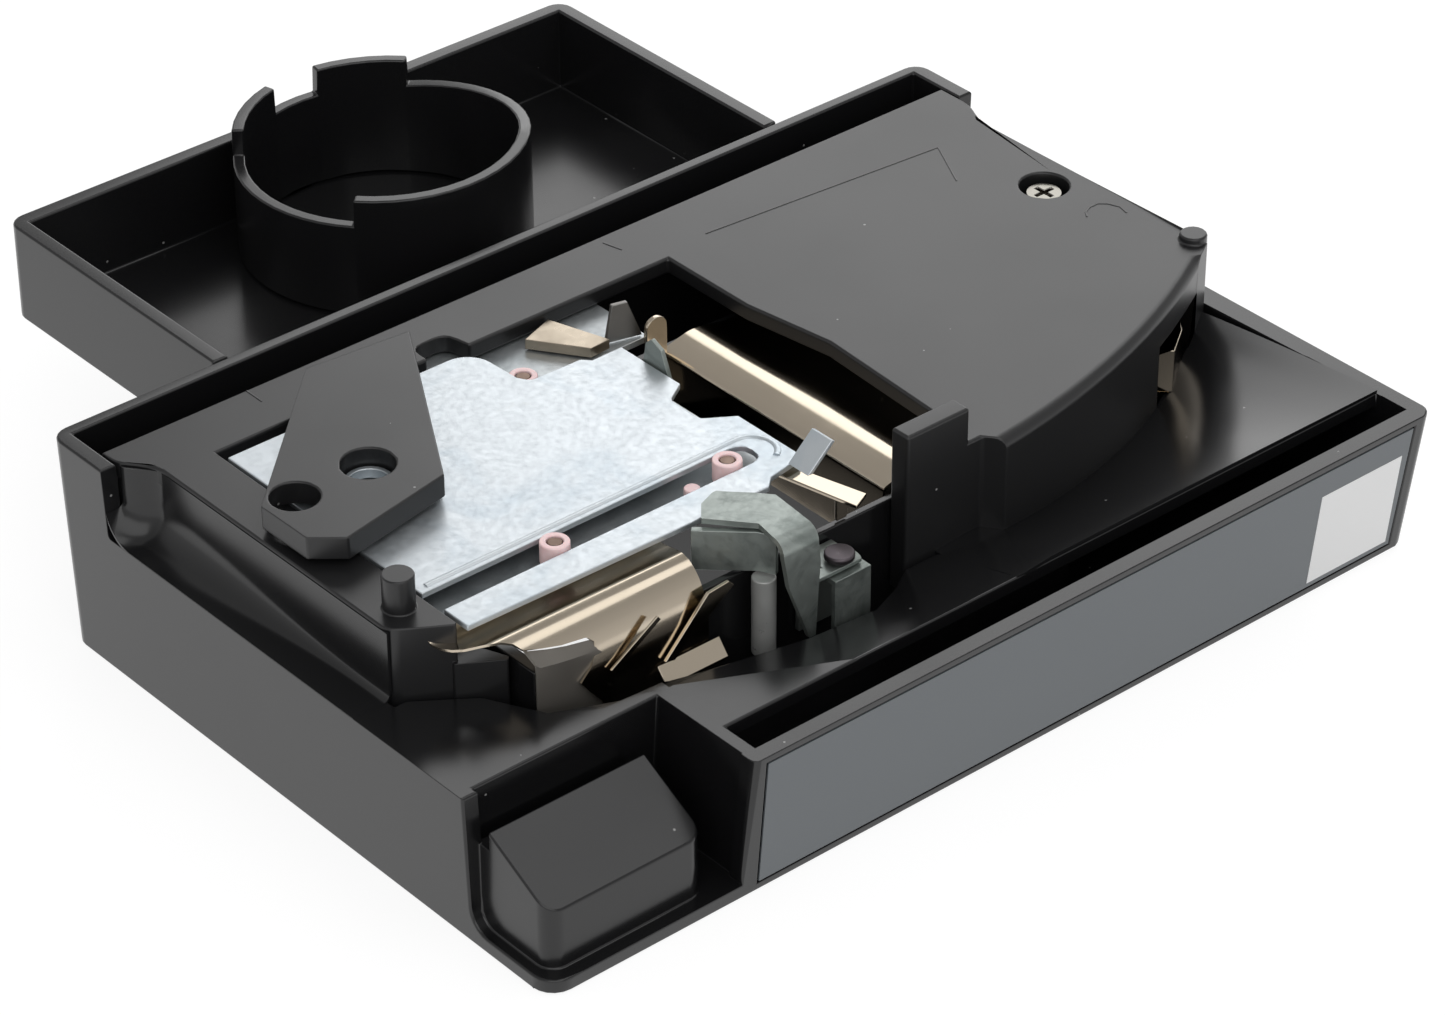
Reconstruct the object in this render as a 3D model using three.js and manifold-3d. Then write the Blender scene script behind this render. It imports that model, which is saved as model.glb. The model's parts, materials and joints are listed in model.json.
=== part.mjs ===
// Slide stack loader for a rotary-tray projector, standing with its underside up.
// Millimetres, +Z up. The corner frame used below starts at the left front corner of the body:
// X runs along the label wall, Y away from it towards the hub tray. The group moves the bounding
// box's bottom centre to the origin.
import * as THREE from "three";
import { mergeVertices } from "three/addons/utils/BufferGeometryUtils.js";
import Module from "manifold-3d";

const wasm = await Module();
wasm.setup();

// ---------------------------------------------------------------- driving dimensions
const WIDTH = 180;
const FRONT = 0.2; // front face of the label wall, carried up to the height of the deck
const BACK = 123.3; // outer face of the back wall
const LEDGE_Z = 26.2;
const DECK_Z = 38.6;
const SKIN = 3; // thickness of the deck and of its skirts
const WALL = 2.9;
const BACK_WALL = 2.3;
const FLOOR = 2.6;
const GAP = 0.3; // between touching pieces
const SIDE_DRAFT = 1.3;
const FRONT_DRAFT = 4.4;
const FRONT_AT_LEDGE = FRONT + FRONT_DRAFT * (1 - LEDGE_Z / DECK_Z);
const POST_Y = BACK - 13.8; // where the corner posts begin

// finger recess in the left front corner
const RECESS = { x: 37.3, y: 22.3, wall: 2.5 };
const WEDGE = { left: 3.2, right: 32.3, front: 6.8, low: 13, high: 20.2, shelf: 17, back: 20.4 };

// label
const LABEL = { left: 39.5, right: 176, bottom: 1.4, top: 25, depth: 0.65, sheet: 0.35 };

// hub tray and collar
const TRAY = { left: 31.1, right: 148.1, back: BACK + 58.1, bottom: 21, floor: 2.4, wall: 2.9 };
const HUB = { x: 89.6, y: TRAY.back - 24.9, outer: 24.9, inner: 22.8, low: 40.4, high: 45.2 };

// deck
const DECK = { left: 7.3, right: 174.2, back: BACK - 9.5, front: 48, skirtFoot: 18 };
const ARC = { x: 96, y: 177.3, r: 151.6, from: -84.8, to: -58.9, foot: 15 };
const ARC_WINDOW = { left: 153.5, right: 169, low: 20.5, high: 32 };
const TAB = { left: 91.8, right: 104.6, front: 29.4, thick: 3.8, top: 44.8, foot: 16 };
const PIN = { x: 12.3, y: 51.5, r: 2.5, top: 44.5 };
const CORNER_POST = { x: 173.4, y: 49.9, r: 2.3, top: 39.8 };
const SCREW = { x: 167.3, y: 78.4, head: 3.05, shank: 1.5, sink: 1.3, headHigh: 2.2, well: 4.15 };

// ledge
const SLOT = { left: 40, back: 11.2 };
const LEDGE_THICK = 2.6;
// height of the ledge along the foot of the arc wall, from the tab to the corner post
const LEDGE_DIP = [21.3, 20.6, 20.1, 19.7, 19.5, 19.6, 21.2, 23.4, 25.6];

// slide chambers; a mounted slide is 50.8 mm square
const SLIDE = 50.8;
const CHAMBER = { left: 25, right: 129.5, front: 35, wall: 1.4, top: 31.5, end: 2.2 };
const CHAMBER_BACK = CHAMBER.front + SLIDE + 3;
const GATE = { left: 83, right: 92.5 };

// follower rail
const RAIL = { y: 96, z: 14, r: 1.5, clear: 0.2 };
const BRACKET = { thick: 3.5, y: 8, high: 17.6, left: 11, middle: 86, right: 141 };
const BUSH = { r: 3.5, long: 8.5 };
const FOLLOWER = { thick: 3, side: 0.6, low: 3.2, high: 30.5, arm: 6 };
const SPRING = { wire: 0.4, r: 2.4, turns: 9 };

// transport
const CHASSIS = { low: 34, thick: 1.2 };
const PLATE = { low: 37.6, thick: 1 };
const ROLLER = { r: 2.35, bore: 1.35, low: 35.5, high: 39.2, y: 49.4 };
const PLATE_SLOT = { half: ROLLER.r + 0.25, end: 78.3 };
const RIVET = { r: 1.2, head: 2.2, high: 0.9 };
const CHASSIS_SCREW = { r: 1.1, head: 2, high: 1.1, top: 37.3 };
const chassisScrews = {
  chassis_screw_front: [13.4, 64],
  chassis_screw_back: [13.4, 105.8],
  chassis_screw_right: [80, 105.8],
};
const LEVER = { low: 39.6, thick: 4, hole: 4.25, holeX: 27.5, holeY: 78.6, sideX: 13.9, sideR: 3.85 };
const EYELET = { outer: 3.9, inner: 3 };
const SHEET = 0.8; // guides and spring strips
const PIVOT = { x: 76.2, y: 27.2, ear: 30.1, earR: 3.4, rivet: 1.3, head: 2.4 };

// ---------------------------------------------------------------- materials
const finish = (color, roughness, metalness) =>
  new THREE.MeshStandardMaterial({ color, roughness, metalness });
const BLACK = finish(0x1b1b1c, 0.35, 0);
const ZINC = finish(0xc9d3da, 0.45, 0.9);
const STEEL = finish(0x8a8f88, 0.4, 0.9);
const NICKEL = finish(0xd8cdb8, 0.15, 1);
const NYLON = finish(0xe3a9a7, 0.5, 0);
const LABEL_BLUE = finish(0x2e7fb5, 0.4, 0);
const SPRING_STEEL = finish(0x9a9a98, 0.35, 1);

// ---------------------------------------------------------------- shape helpers
function solid(geometry) {
  const bare = geometry.clone();
  bare.deleteAttribute("normal");
  bare.deleteAttribute("uv");
  const merged = mergeVertices(bare, 1e-4);
  return new wasm.Manifold(
    new wasm.Mesh({
      numProp: 3,
      vertProperties: merged.attributes.position.array,
      triVerts: new Uint32Array(merged.index.array),
    }),
  );
}

function geometryOf(body) {
  const mesh = body.getMesh();
  return new THREE.BufferGeometry()
    .setAttribute("position", new THREE.BufferAttribute(mesh.vertProperties, 3))
    .setIndex(new THREE.BufferAttribute(mesh.triVerts, 1));
}

const join = (...bodies) => bodies.reduce((a, b) => a.add(b));
const cut = (body, ...tools) => tools.reduce((a, b) => a.subtract(b), body);

// A closed outline from corners [x, y, radius]; a corner with no radius is sharp, and a
// radius is held to just under half of the shorter side beside it.
function outline(corners) {
  const shape = new THREE.Shape();
  const count = corners.length;
  const points = corners.map(([x, y]) => new THREE.Vector2(x, y));
  const towards = (from, to, distance) =>
    to.clone().sub(from).setLength(distance).add(from);
  points.forEach((point, i) => {
    const before = points[(i + count - 1) % count];
    const after = points[(i + 1) % count];
    const room = 0.49 * Math.min(point.distanceTo(before), point.distanceTo(after));
    const radius = Math.min(corners[i][2] ?? 0, room);
    const start = towards(point, before, radius);
    const end = towards(point, after, radius);
    if (i === 0) shape.moveTo(start.x, start.y);
    else shape.lineTo(start.x, start.y);
    if (radius) shape.quadraticCurveTo(point.x, point.y, end.x, end.y);
  });
  shape.closePath();
  return shape;
}

function extruded(shape, depth) {
  return new THREE.ExtrudeGeometry(shape, { depth, bevelEnabled: false, curveSegments: 4 });
}

// An upright prism over a plan outline.
function prism(corners, low, high) {
  return solid(extruded(outline(corners), high - low).translate(0, 0, low));
}

const X_AXIS = new THREE.Vector3(1, 0, 0);
const Y_AXIS = new THREE.Vector3(0, 1, 0);
const Z_AXIS = new THREE.Vector3(0, 0, 1);

// A profile of [y, z] corners carried along X.
function alongX(corners, from, to) {
  const turn = new THREE.Matrix4().makeBasis(Y_AXIS, Z_AXIS, X_AXIS);
  return solid(extruded(outline(corners), to - from).applyMatrix4(turn).translate(from, 0, 0));
}

// A profile of [x, z] corners carried along Y.
function alongY(corners, from, to) {
  const turn = new THREE.Matrix4().makeBasis(X_AXIS, Z_AXIS, Y_AXIS.clone().negate());
  return solid(extruded(outline(corners), to - from).applyMatrix4(turn).translate(0, to, 0));
}

function boxGeometry([x0, y0, z0], [x1, y1, z1]) {
  return new THREE.BoxGeometry(x1 - x0, y1 - y0, z1 - z0).translate(
    (x0 + x1) / 2,
    (y0 + y1) / 2,
    (z0 + z1) / 2,
  );
}
const box = (low, high) => solid(boxGeometry(low, high));

function cylinder(x, y, low, high, r, sides = 24) {
  return solid(
    new THREE.CylinderGeometry(r, r, high - low, sides)
      .rotateX(Math.PI / 2)
      .translate(x, y, (low + high) / 2),
  );
}

function rodAlongX(from, to, y, z, r, sides = 16) {
  return solid(
    new THREE.CylinderGeometry(r, r, to - from, sides)
      .rotateZ(Math.PI / 2)
      .translate((from + to) / 2, y, z),
  );
}

// The moulded walls lean inwards towards z = 0: moves a geometry's points by their height.
function leaned(geometry) {
  const position = geometry.attributes.position;
  for (let i = 0; i < position.count; i++) {
    const down = (DECK_Z - position.getZ(i)) / DECK_Z;
    const x = position.getX(i);
    const y = position.getY(i);
    position.setX(i, x + down * SIDE_DRAFT * (1 - (2 * x) / WIDTH));
    position.setY(i, y + down * FRONT_DRAFT * (1 - (y - FRONT) / (BACK - FRONT)));
  }
  return geometry;
}
const leanedBox = (low, high) => solid(leaned(boxGeometry(low, high)));

// A strip between two rows of [x, y, z] points, with its top face through them.
function ruledSlab(inner, outer, thickness) {
  const points = [];
  for (const drop of [0, thickness])
    for (const row of [inner, outer])
      for (const [x, y, z] of row) points.push(x, y, z - drop);
  const n = inner.length;
  const topIn = (i) => i;
  const topOut = (i) => n + i;
  const lowIn = (i) => 2 * n + i;
  const lowOut = (i) => 3 * n + i;
  const faces = [];
  const quad = (a, b, c, d) => faces.push(a, b, c, a, c, d);
  for (let i = 0; i < n - 1; i++) {
    quad(topIn(i), topOut(i), topOut(i + 1), topIn(i + 1));
    quad(lowIn(i), lowIn(i + 1), lowOut(i + 1), lowOut(i));
    quad(topIn(i), topIn(i + 1), lowIn(i + 1), lowIn(i));
    quad(topOut(i), lowOut(i), lowOut(i + 1), topOut(i + 1));
  }
  quad(topIn(0), lowIn(0), lowOut(0), topOut(0));
  quad(topIn(n - 1), topOut(n - 1), lowOut(n - 1), lowIn(n - 1));
  const geometry = new THREE.BufferGeometry()
    .setAttribute("position", new THREE.Float32BufferAttribute(points, 3))
    .setIndex(faces);
  return solid(geometry);
}

// A ring wall whose top follows knots of [degrees, height].
function ringWall(x, y, inner, outer, low, knots) {
  const n = knots.length;
  const points = [];
  for (const [degrees, top] of knots) {
    const a = THREE.MathUtils.degToRad(degrees);
    for (const [r, z] of [[inner, low], [outer, low], [outer, top], [inner, top]])
      points.push(x + r * Math.cos(a), y + r * Math.sin(a), z);
  }
  const faces = [];
  for (let i = 0; i < n; i++) {
    const a = 4 * i;
    const b = 4 * ((i + 1) % n);
    for (let side = 0; side < 4; side++) {
      const next = (side + 1) % 4;
      faces.push(a + side, b + side, b + next, a + side, b + next, a + next);
    }
  }
  return solid(
    new THREE.BufferGeometry()
      .setAttribute("position", new THREE.Float32BufferAttribute(points, 3))
      .setIndex(faces),
  );
}

// A coil spring along X.
function coil(from, to, y, z) {
  class Helix extends THREE.Curve {
    getPoint(t, target = new THREE.Vector3()) {
      const a = 2 * Math.PI * SPRING.turns * t;
      return target.set(
        from + (to - from) * t,
        y + SPRING.r * Math.cos(a),
        z + SPRING.r * Math.sin(a),
      );
    }
  }
  const section = new THREE.Shape();
  section.absarc(0, 0, SPRING.wire, 0, 2 * Math.PI, false);
  return solid(
    new THREE.ExtrudeGeometry(section, {
      extrudePath: new Helix(),
      steps: 9 * SPRING.turns,
      curveSegments: 2,
      bevelEnabled: false,
    }),
  );
}

const arcPoint = (radius, degrees) => {
  const a = THREE.MathUtils.degToRad(degrees);
  return [ARC.x + radius * Math.cos(a), ARC.y + radius * Math.sin(a)];
};
const arcSteps = (count) =>
  Array.from({ length: count }, (_, i) => ARC.from + ((ARC.to - ARC.from) * i) / (count - 1));

// ---------------------------------------------------------------- assembly
const part = new THREE.Group();
part.name = "slide_stack_loader";
const corner = new THREE.Group();
corner.position.set(-WIDTH / 2, -(FRONT_AT_LEDGE + TRAY.back) / 2, 0);
part.add(corner);

function add(name, body, material) {
  const mesh = new THREE.Mesh(geometryOf(body), material);
  mesh.name = name;
  corner.add(mesh);
}

// The lipped ledge round the deck: level along the rim, dipping to the foot of the arc wall.
function ledge() {
  const arcFoot = ARC.r + GAP;
  const mouth = [
    [9, 46.5, LEDGE_Z],
    [18, 40, LEDGE_Z],
    [23, 30.5, LEDGE_Z],
    [33, 26.5, LEDGE_Z - 0.4],
    [50, 25, LEDGE_Z - 1.6],
    [66, 23, LEDGE_Z - 2.8],
    [80, 23.2, LEDGE_Z - 4],
    [87, 26.5, LEDGE_Z - 5],
    [TAB.left - 0.6, TAB.front - GAP, LEDGE_DIP[0]],
    [TAB.right, TAB.front - GAP, LEDGE_DIP[0]],
  ];
  const foot = arcSteps(9).map((degrees, i) => [...arcPoint(arcFoot, degrees), LEDGE_DIP[i]]);
  const inner = [...mouth, ...foot];
  const right = WIDTH - WALL;
  const outer = [
    [3, 46.5],
    [3, 40],
    [3, RECESS.y + 1.5],
    [33, RECESS.y + 1.5],
    [SLOT.left, RECESS.y + 1.4],
    [66, SLOT.back],
    [80, SLOT.back],
    [87, SLOT.back],
    [TAB.left, SLOT.back],
    [TAB.right, SLOT.back],
    ...foot.map(([x], i) => [x + (i * (right - x)) / (foot.length - 1), SLOT.back]),
  ].map(([x, y]) => [x, y, LEDGE_Z]);
  const slab = ruledSlab(inner, outer, LEDGE_THICK);
  const strip = LEDGE_Z - LEDGE_THICK;
  const deckLeft = DECK.left - GAP;
  const deckRight = DECK.right + GAP;
  const leftStrip = prism(
    [[2, 46.4], [deckLeft, 46.4], [deckLeft, POST_Y - 5.7], [3, POST_Y - 0.3], [2, POST_Y - 0.3]],
    strip,
    LEDGE_Z,
  );
  const rightStrip = prism(
    [
      [deckRight, 49.8],
      [WIDTH - 2, 49.8],
      [WIDTH - 2, POST_Y - 0.5],
      [right, POST_Y - 0.5],
      [right, POST_Y - 3.5],
      [deckRight, POST_Y - 9.5],
    ],
    strip,
    LEDGE_Z,
  );
  const rightCorner = prism(
    [[right - 0.5, SLOT.back - 1], [WIDTH - 2, SLOT.back - 1], [WIDTH - 2, 50], [DECK.right + 1, 50]],
    LEDGE_Z - 5,
    LEDGE_Z,
  );
  const bridge = prism(
    [
      [SLOT.left - 1, SLOT.back],
      [66, SLOT.back],
      [SLOT.left + 1, RECESS.y + 1.6],
      [SLOT.left - 1, RECESS.y + 1.6],
    ],
    strip,
    LEDGE_Z,
  );
  return join(slab, leftStrip, rightStrip, rightCorner, bridge);
}

function housing() {
  const over = DECK_Z + 20;
  const shell = cut(
    leanedBox([0, FRONT, 0], [WIDTH, BACK, DECK_Z]),
    leanedBox([WALL, FRONT + WALL + 0.3, FLOOR], [WIDTH - WALL, BACK - BACK_WALL, over]),
    box([-1, -1, LEDGE_Z], [WIDTH + 1, POST_Y, over]),
    box([-1, -1, FLOOR], [RECESS.x, RECESS.y, over]),
  );
  const recessBack = leanedBox(
    [0.6, RECESS.y, FLOOR - 1],
    [RECESS.x + RECESS.wall, RECESS.y + RECESS.wall, LEDGE_Z],
  );
  const recessSide = leanedBox(
    [RECESS.x, FRONT + 1, FLOOR - 1],
    [RECESS.x + RECESS.wall, RECESS.y + RECESS.wall, LEDGE_Z],
  );
  const wedge = alongX(
    [
      [WEDGE.front, FLOOR - 1],
      [RECESS.y + 1, FLOOR - 1],
      [RECESS.y + 1, WEDGE.shelf],
      [WEDGE.back, WEDGE.shelf],
      [WEDGE.back, WEDGE.high],
      [WEDGE.front, WEDGE.low],
    ],
    WEDGE.left,
    WEDGE.right,
  );
  const screwPost = cylinder(SCREW.x, SCREW.y, FLOOR - 1, 23.7, 4);
  return cut(
    join(shell, recessBack, recessSide, wedge, ledge(), screwPost),
    cylinder(SCREW.x, SCREW.y, 10, 30, SCREW.shank + 0.2, 12),
    box([CHAMBER.left, CHAMBER.front, -1], [CHAMBER.right, CHAMBER_BACK, FLOOR + 1]),
    leanedBox(
      [LABEL.left, FRONT - 1, LABEL.bottom],
      [LABEL.right, FRONT + LABEL.depth, LABEL.top],
    ),
  );
}
add("outer_housing", housing(), BLACK);

add(
  "label_strip",
  leanedBox(
    [LABEL.left + GAP, FRONT, LABEL.bottom + GAP],
    [LABEL.right - GAP, FRONT + LABEL.sheet, LABEL.top - GAP],
  ),
  LABEL_BLUE,
);

// ---------------------------------------------------------------- hub tray and collar
const trayFloor = TRAY.bottom + TRAY.floor;
add(
  "hub_tray",
  cut(
    box([TRAY.left, BACK + GAP, TRAY.bottom], [TRAY.right, TRAY.back, DECK_Z]),
    cylinder(HUB.x, HUB.y, trayFloor, DECK_Z + 1, HUB.outer + GAP, 48),
    box(
      [TRAY.left + TRAY.wall, BACK - 1, trayFloor],
      [TRAY.right - TRAY.wall, TRAY.back - TRAY.wall, DECK_Z + 1],
    ),
  ),
  BLACK,
);

// Top of the collar round its circle: three raised lugs, and a ramp down behind the longest one.
function collarKnots() {
  const stops = [
    [-180, HUB.low],
    [-138.4, HUB.low],
    [-138, HUB.high],
    [-46, HUB.high],
    [42.2, HUB.low],
    [42.6, HUB.high],
    [81, HUB.high],
    [81.4, HUB.low],
    [104, HUB.low],
    [104.4, HUB.high],
    [142, HUB.high],
    [142.4, HUB.low],
    [180, HUB.low],
  ];
  const knots = [];
  stops.slice(1).forEach(([to, high], i) => {
    const [from, low] = stops[i];
    const parts = Math.max(1, Math.round((to - from) / 7.5));
    for (let k = 0; k < parts; k++)
      knots.push([from + ((to - from) * k) / parts, low + ((high - low) * k) / parts]);
  });
  return knots;
}
add(
  "hub_collar",
  ringWall(HUB.x, HUB.y, HUB.inner, HUB.outer, trayFloor + GAP, collarKnots()),
  BLACK,
);

// ---------------------------------------------------------------- deck
function deck() {
  const under = DECK_Z - SKIN;
  const backRight = WIDTH - WALL - GAP;
  const backLeft = WALL + GAP;
  const footRight = backRight - 0.5;
  const footLeft = backLeft + 0.5;
  const arc = arcSteps(13).map((degrees) => arcPoint(ARC.r, degrees));
  const arcInside = arcSteps(13).map((degrees) => arcPoint(ARC.r - SKIN, degrees));
  const top = prism(
    [
      [DECK.left, DECK.front, 2],
      [16.2, 42.4, 1],
      [16.2, 102.3],
      [57, 102.3],
      [57, 106.5, 2],
      [63.5, 106.5, 2],
      [64.5, 101.4],
      [105.2, 101.2],
      [105.2, 82],
      [107.8, 65],
      [106.3, 40],
      [TAB.right, TAB.front + TAB.thick],
      [TAB.right, TAB.front],
      [107.3, TAB.front],
      ...arc,
      [DECK.right, 52],
      [DECK.right, POST_Y - 8.5, 3],
      [backRight, POST_Y - 3, 2],
      [backRight, DECK.back],
      [backLeft, DECK.back],
      [backLeft, POST_Y + 0.6, 1.5],
      [DECK.left, POST_Y - 4.5, 3],
    ],
    under,
    DECK_Z,
  );
  const skirt = (corners, foot) => prism(corners, foot, under + 1);
  const leftSkirt = skirt(
    [[DECK.left, 50], [10, 50], [10, POST_Y - 4.5], [DECK.left, POST_Y - 4.5]],
    DECK.skirtFoot,
  );
  const platform = skirt(
    [[DECK.left, DECK.front, 2], [16.2, 42.4, 1], [16.2, 56], [DECK.left, 56]],
    DECK.skirtFoot,
  );
  const block = prism(
    [[15, 42.4], [21.8, 38.2, 1], [22.4, 39], [20.4, 44], [16, 46]],
    DECK.skirtFoot,
    32,
  );
  const leftScoop = skirt(
    [
      [footLeft, POST_Y + 0.6, 1.5],
      [DECK.left, POST_Y - 4.9, 2],
      [10, POST_Y - 5.5],
      [10, DECK.back - 0.8],
      [footLeft, DECK.back - 0.8],
    ],
    DECK.skirtFoot,
  );
  const rightSkirt = skirt(
    [[171.4, 50], [DECK.right, 50], [DECK.right, POST_Y - 8.5], [171.4, POST_Y - 8.5]],
    DECK.skirtFoot,
  );
  const rightScoop = skirt(
    [
      [171.4, POST_Y - 9.5],
      [DECK.right, POST_Y - 8.9, 2],
      [footRight, POST_Y - 3, 2],
      [footRight, DECK.back - 0.8],
      [171.4, DECK.back - 0.8],
    ],
    DECK.skirtFoot,
  );
  const backSkirt = leanedBox(
    [backLeft, DECK.back - SKIN, FLOOR + GAP],
    [backRight, DECK.back, under + 1],
  );
  const arcSkirt = skirt([...arc, ...arcInside.reverse()], ARC.foot);
  const tab = box(
    [TAB.left, TAB.front, TAB.foot],
    [TAB.right, TAB.front + TAB.thick, TAB.top],
  );
  const tabRoot = skirt(
    [
      [TAB.right - 1, TAB.front],
      [107.3, TAB.front],
      arc[0],
      arc[1],
      [arc[1][0], TAB.front + 3.2],
      [TAB.right - 1, TAB.front + 3.2],
    ],
    TAB.foot,
  );
  const pin = cylinder(PIN.x, PIN.y, DECK_Z - 1, PIN.top, PIN.r);
  const post = cylinder(
    CORNER_POST.x,
    CORNER_POST.y,
    LEDGE_Z + 1,
    CORNER_POST.top,
    CORNER_POST.r,
    16,
  );
  const boss = cylinder(SCREW.x, SCREW.y, 24, under + 1, 6);
  const headSeat = DECK_Z - SCREW.sink - SCREW.headHigh;
  return cut(
    join(
      top,
      leftSkirt,
      platform,
      block,
      leftScoop,
      rightSkirt,
      rightScoop,
      backSkirt,
      arcSkirt,
      tab,
      tabRoot,
      pin,
      post,
      boss,
    ),
    cylinder(SCREW.x, SCREW.y, headSeat - GAP, DECK_Z + 1, SCREW.well),
    cylinder(SCREW.x, SCREW.y, 20, DECK_Z, SCREW.shank + 0.3, 12),
    ...Object.values(chassisScrews).map(([x, y]) =>
      cylinder(x, y, under - 1, CHASSIS_SCREW.top + 0.2, CHASSIS_SCREW.r + 0.2, 12),
    ),
    box(
      [ARC_WINDOW.left, 30, ARC_WINDOW.low],
      [ARC_WINDOW.right, 50, ARC_WINDOW.high],
    ),
  );
}
add("deck_cover", deck(), BLACK);

const screwTop = DECK_Z - SCREW.sink;
const crossArm = (dx, dy) =>
  box(
    [SCREW.x - dx, SCREW.y - dy, screwTop - 1.2],
    [SCREW.x + dx, SCREW.y + dy, screwTop + 1],
  );
add(
  "cover_screw",
  cut(
    join(
      cylinder(SCREW.x, SCREW.y, screwTop - SCREW.headHigh, screwTop, SCREW.head),
      cylinder(SCREW.x, SCREW.y, 12, screwTop - 1, SCREW.shank, 12),
    ),
    crossArm(1.9, 0.35),
    crossArm(0.35, 1.9),
  ),
  NICKEL,
);

// Nickel clip that bulges out of the arc wall's window.
function clipStrip() {
  const path = [
    [148, 38.9],
    [153.9, 41.3],
    [157.5, 37.6],
    [163, 41.4],
    [167.4, 47],
    [170.6, 50],
  ];
  const normal = new THREE.Vector2(-0.5, 0.86).setLength(0.6);
  const behind = path.map(([x, y]) => [x + normal.x, y + normal.y]).reverse();
  return prism([...path, ...behind], ARC_WINDOW.low + 1.2, ARC_WINDOW.high - 2.5);
}
add("wall_clip", clipStrip(), NICKEL);

// ---------------------------------------------------------------- slide chambers
function chamberFrame() {
  const frameFront = CHAMBER.front - CHAMBER.wall;
  const frameBack = CHAMBER_BACK + CHAMBER.wall + 0.2;
  const armSlot = (from, to) =>
    box(
      [from, CHAMBER_BACK - 1, RAIL.z - FOLLOWER.arm / 2 - 1.5],
      [to, frameBack + 1, RAIL.z + FOLLOWER.arm / 2 + 1.5],
    );
  return cut(
    box(
      [CHAMBER.left - CHAMBER.end, frameFront, FLOOR + GAP],
      [CHAMBER.right + CHAMBER.end, frameBack, CHAMBER.top],
    ),
    box(
      [CHAMBER.left, CHAMBER.front, 0],
      [CHAMBER.right, CHAMBER_BACK, CHAMBER.top + 1],
    ),
    armSlot(CHAMBER.left + 0.5, GATE.left),
    armSlot(GATE.right + 2, CHAMBER.right - 0.5),
  );
}
add("chamber_frame", chamberFrame(), BLACK);

add(
  "follower_rail",
  rodAlongX(
    BRACKET.left - 1.5,
    BRACKET.right + BRACKET.thick + 1.5,
    RAIL.y,
    RAIL.z,
    RAIL.r,
  ),
  SPRING_STEEL,
);

function railBracket(x) {
  return cut(
    box(
      [x, RAIL.y - BRACKET.y / 2, FLOOR + GAP],
      [x + BRACKET.thick, RAIL.y + BRACKET.y / 2, BRACKET.high],
    ),
    rodAlongX(x - 1, x + BRACKET.thick + 1, RAIL.y, RAIL.z, RAIL.r + RAIL.clear),
  );
}
for (const side of ["left", "middle", "right"])
  add(`rail_bracket_${side}`, railBracket(BRACKET[side]), BLACK);

// A pusher plate in the chamber with an arm through the frame's slot to a bush on the rail.
function follower(x) {
  const bushFrom = x - (BUSH.long - FOLLOWER.thick) / 2;
  const half = FOLLOWER.arm / 2;
  return cut(
    join(
      box(
        [x, CHAMBER.front + FOLLOWER.side, FOLLOWER.low],
        [x + FOLLOWER.thick, CHAMBER_BACK - FOLLOWER.side, FOLLOWER.high],
      ),
      box([x, CHAMBER_BACK - 1, RAIL.z - half], [x + FOLLOWER.thick, RAIL.y, RAIL.z + half]),
      rodAlongX(bushFrom, bushFrom + BUSH.long, RAIL.y, RAIL.z, BUSH.r),
    ),
    rodAlongX(bushFrom - 1, bushFrom + BUSH.long + 1, RAIL.y, RAIL.z, RAIL.r + RAIL.clear),
  );
}
const takeupX = GATE.left - 9;
const supplyX = GATE.right + 4;
add("takeup_follower", follower(takeupX), BLACK);
add("supply_follower", follower(supplyX), BLACK);

const bushOverhang = (BUSH.long - FOLLOWER.thick) / 2;
const endGap = SPRING.wire + GAP;
add(
  "takeup_spring",
  coil(
    BRACKET.left + BRACKET.thick + endGap,
    takeupX - bushOverhang - endGap,
    RAIL.y,
    RAIL.z,
  ),
  SPRING_STEEL,
);
add(
  "supply_spring",
  coil(
    supplyX + FOLLOWER.thick + bushOverhang + endGap,
    BRACKET.right - endGap,
    RAIL.y,
    RAIL.z,
  ),
  SPRING_STEEL,
);

// ---------------------------------------------------------------- transport
const chassisTop = CHASSIS.low + CHASSIS.thick;
const rollers = {
  roller_left: [39.6, ROLLER.y],
  roller_right: [73.2, ROLLER.y],
  roller_back: [66.6, 90.6],
};
const rollerTop = { roller_back: PLATE.low - GAP };

function chassis() {
  const holes = Object.values(rollers).map(([x, y]) =>
    cylinder(x, y, CHASSIS.low - 1, chassisTop + 1, RIVET.r + GAP, 12),
  );
  return cut(
    prism(
      [
        [16.8, 47.4],
        [81.6, 47.4],
        [81.6, 89.4],
        [91, 89.4],
        [91, 109],
        [10.4, 109],
        [10.4, 57],
        [16.8, 57],
      ],
      CHASSIS.low,
      chassisTop,
    ),
    ...holes,
    ...Object.values(chassisScrews).map(([x, y]) =>
      cylinder(x, y, CHASSIS.low - 1, chassisTop + 1, CHASSIS_SCREW.r + GAP, 12),
    ),
  );
}
add("chassis_plate", chassis(), STEEL);

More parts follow.
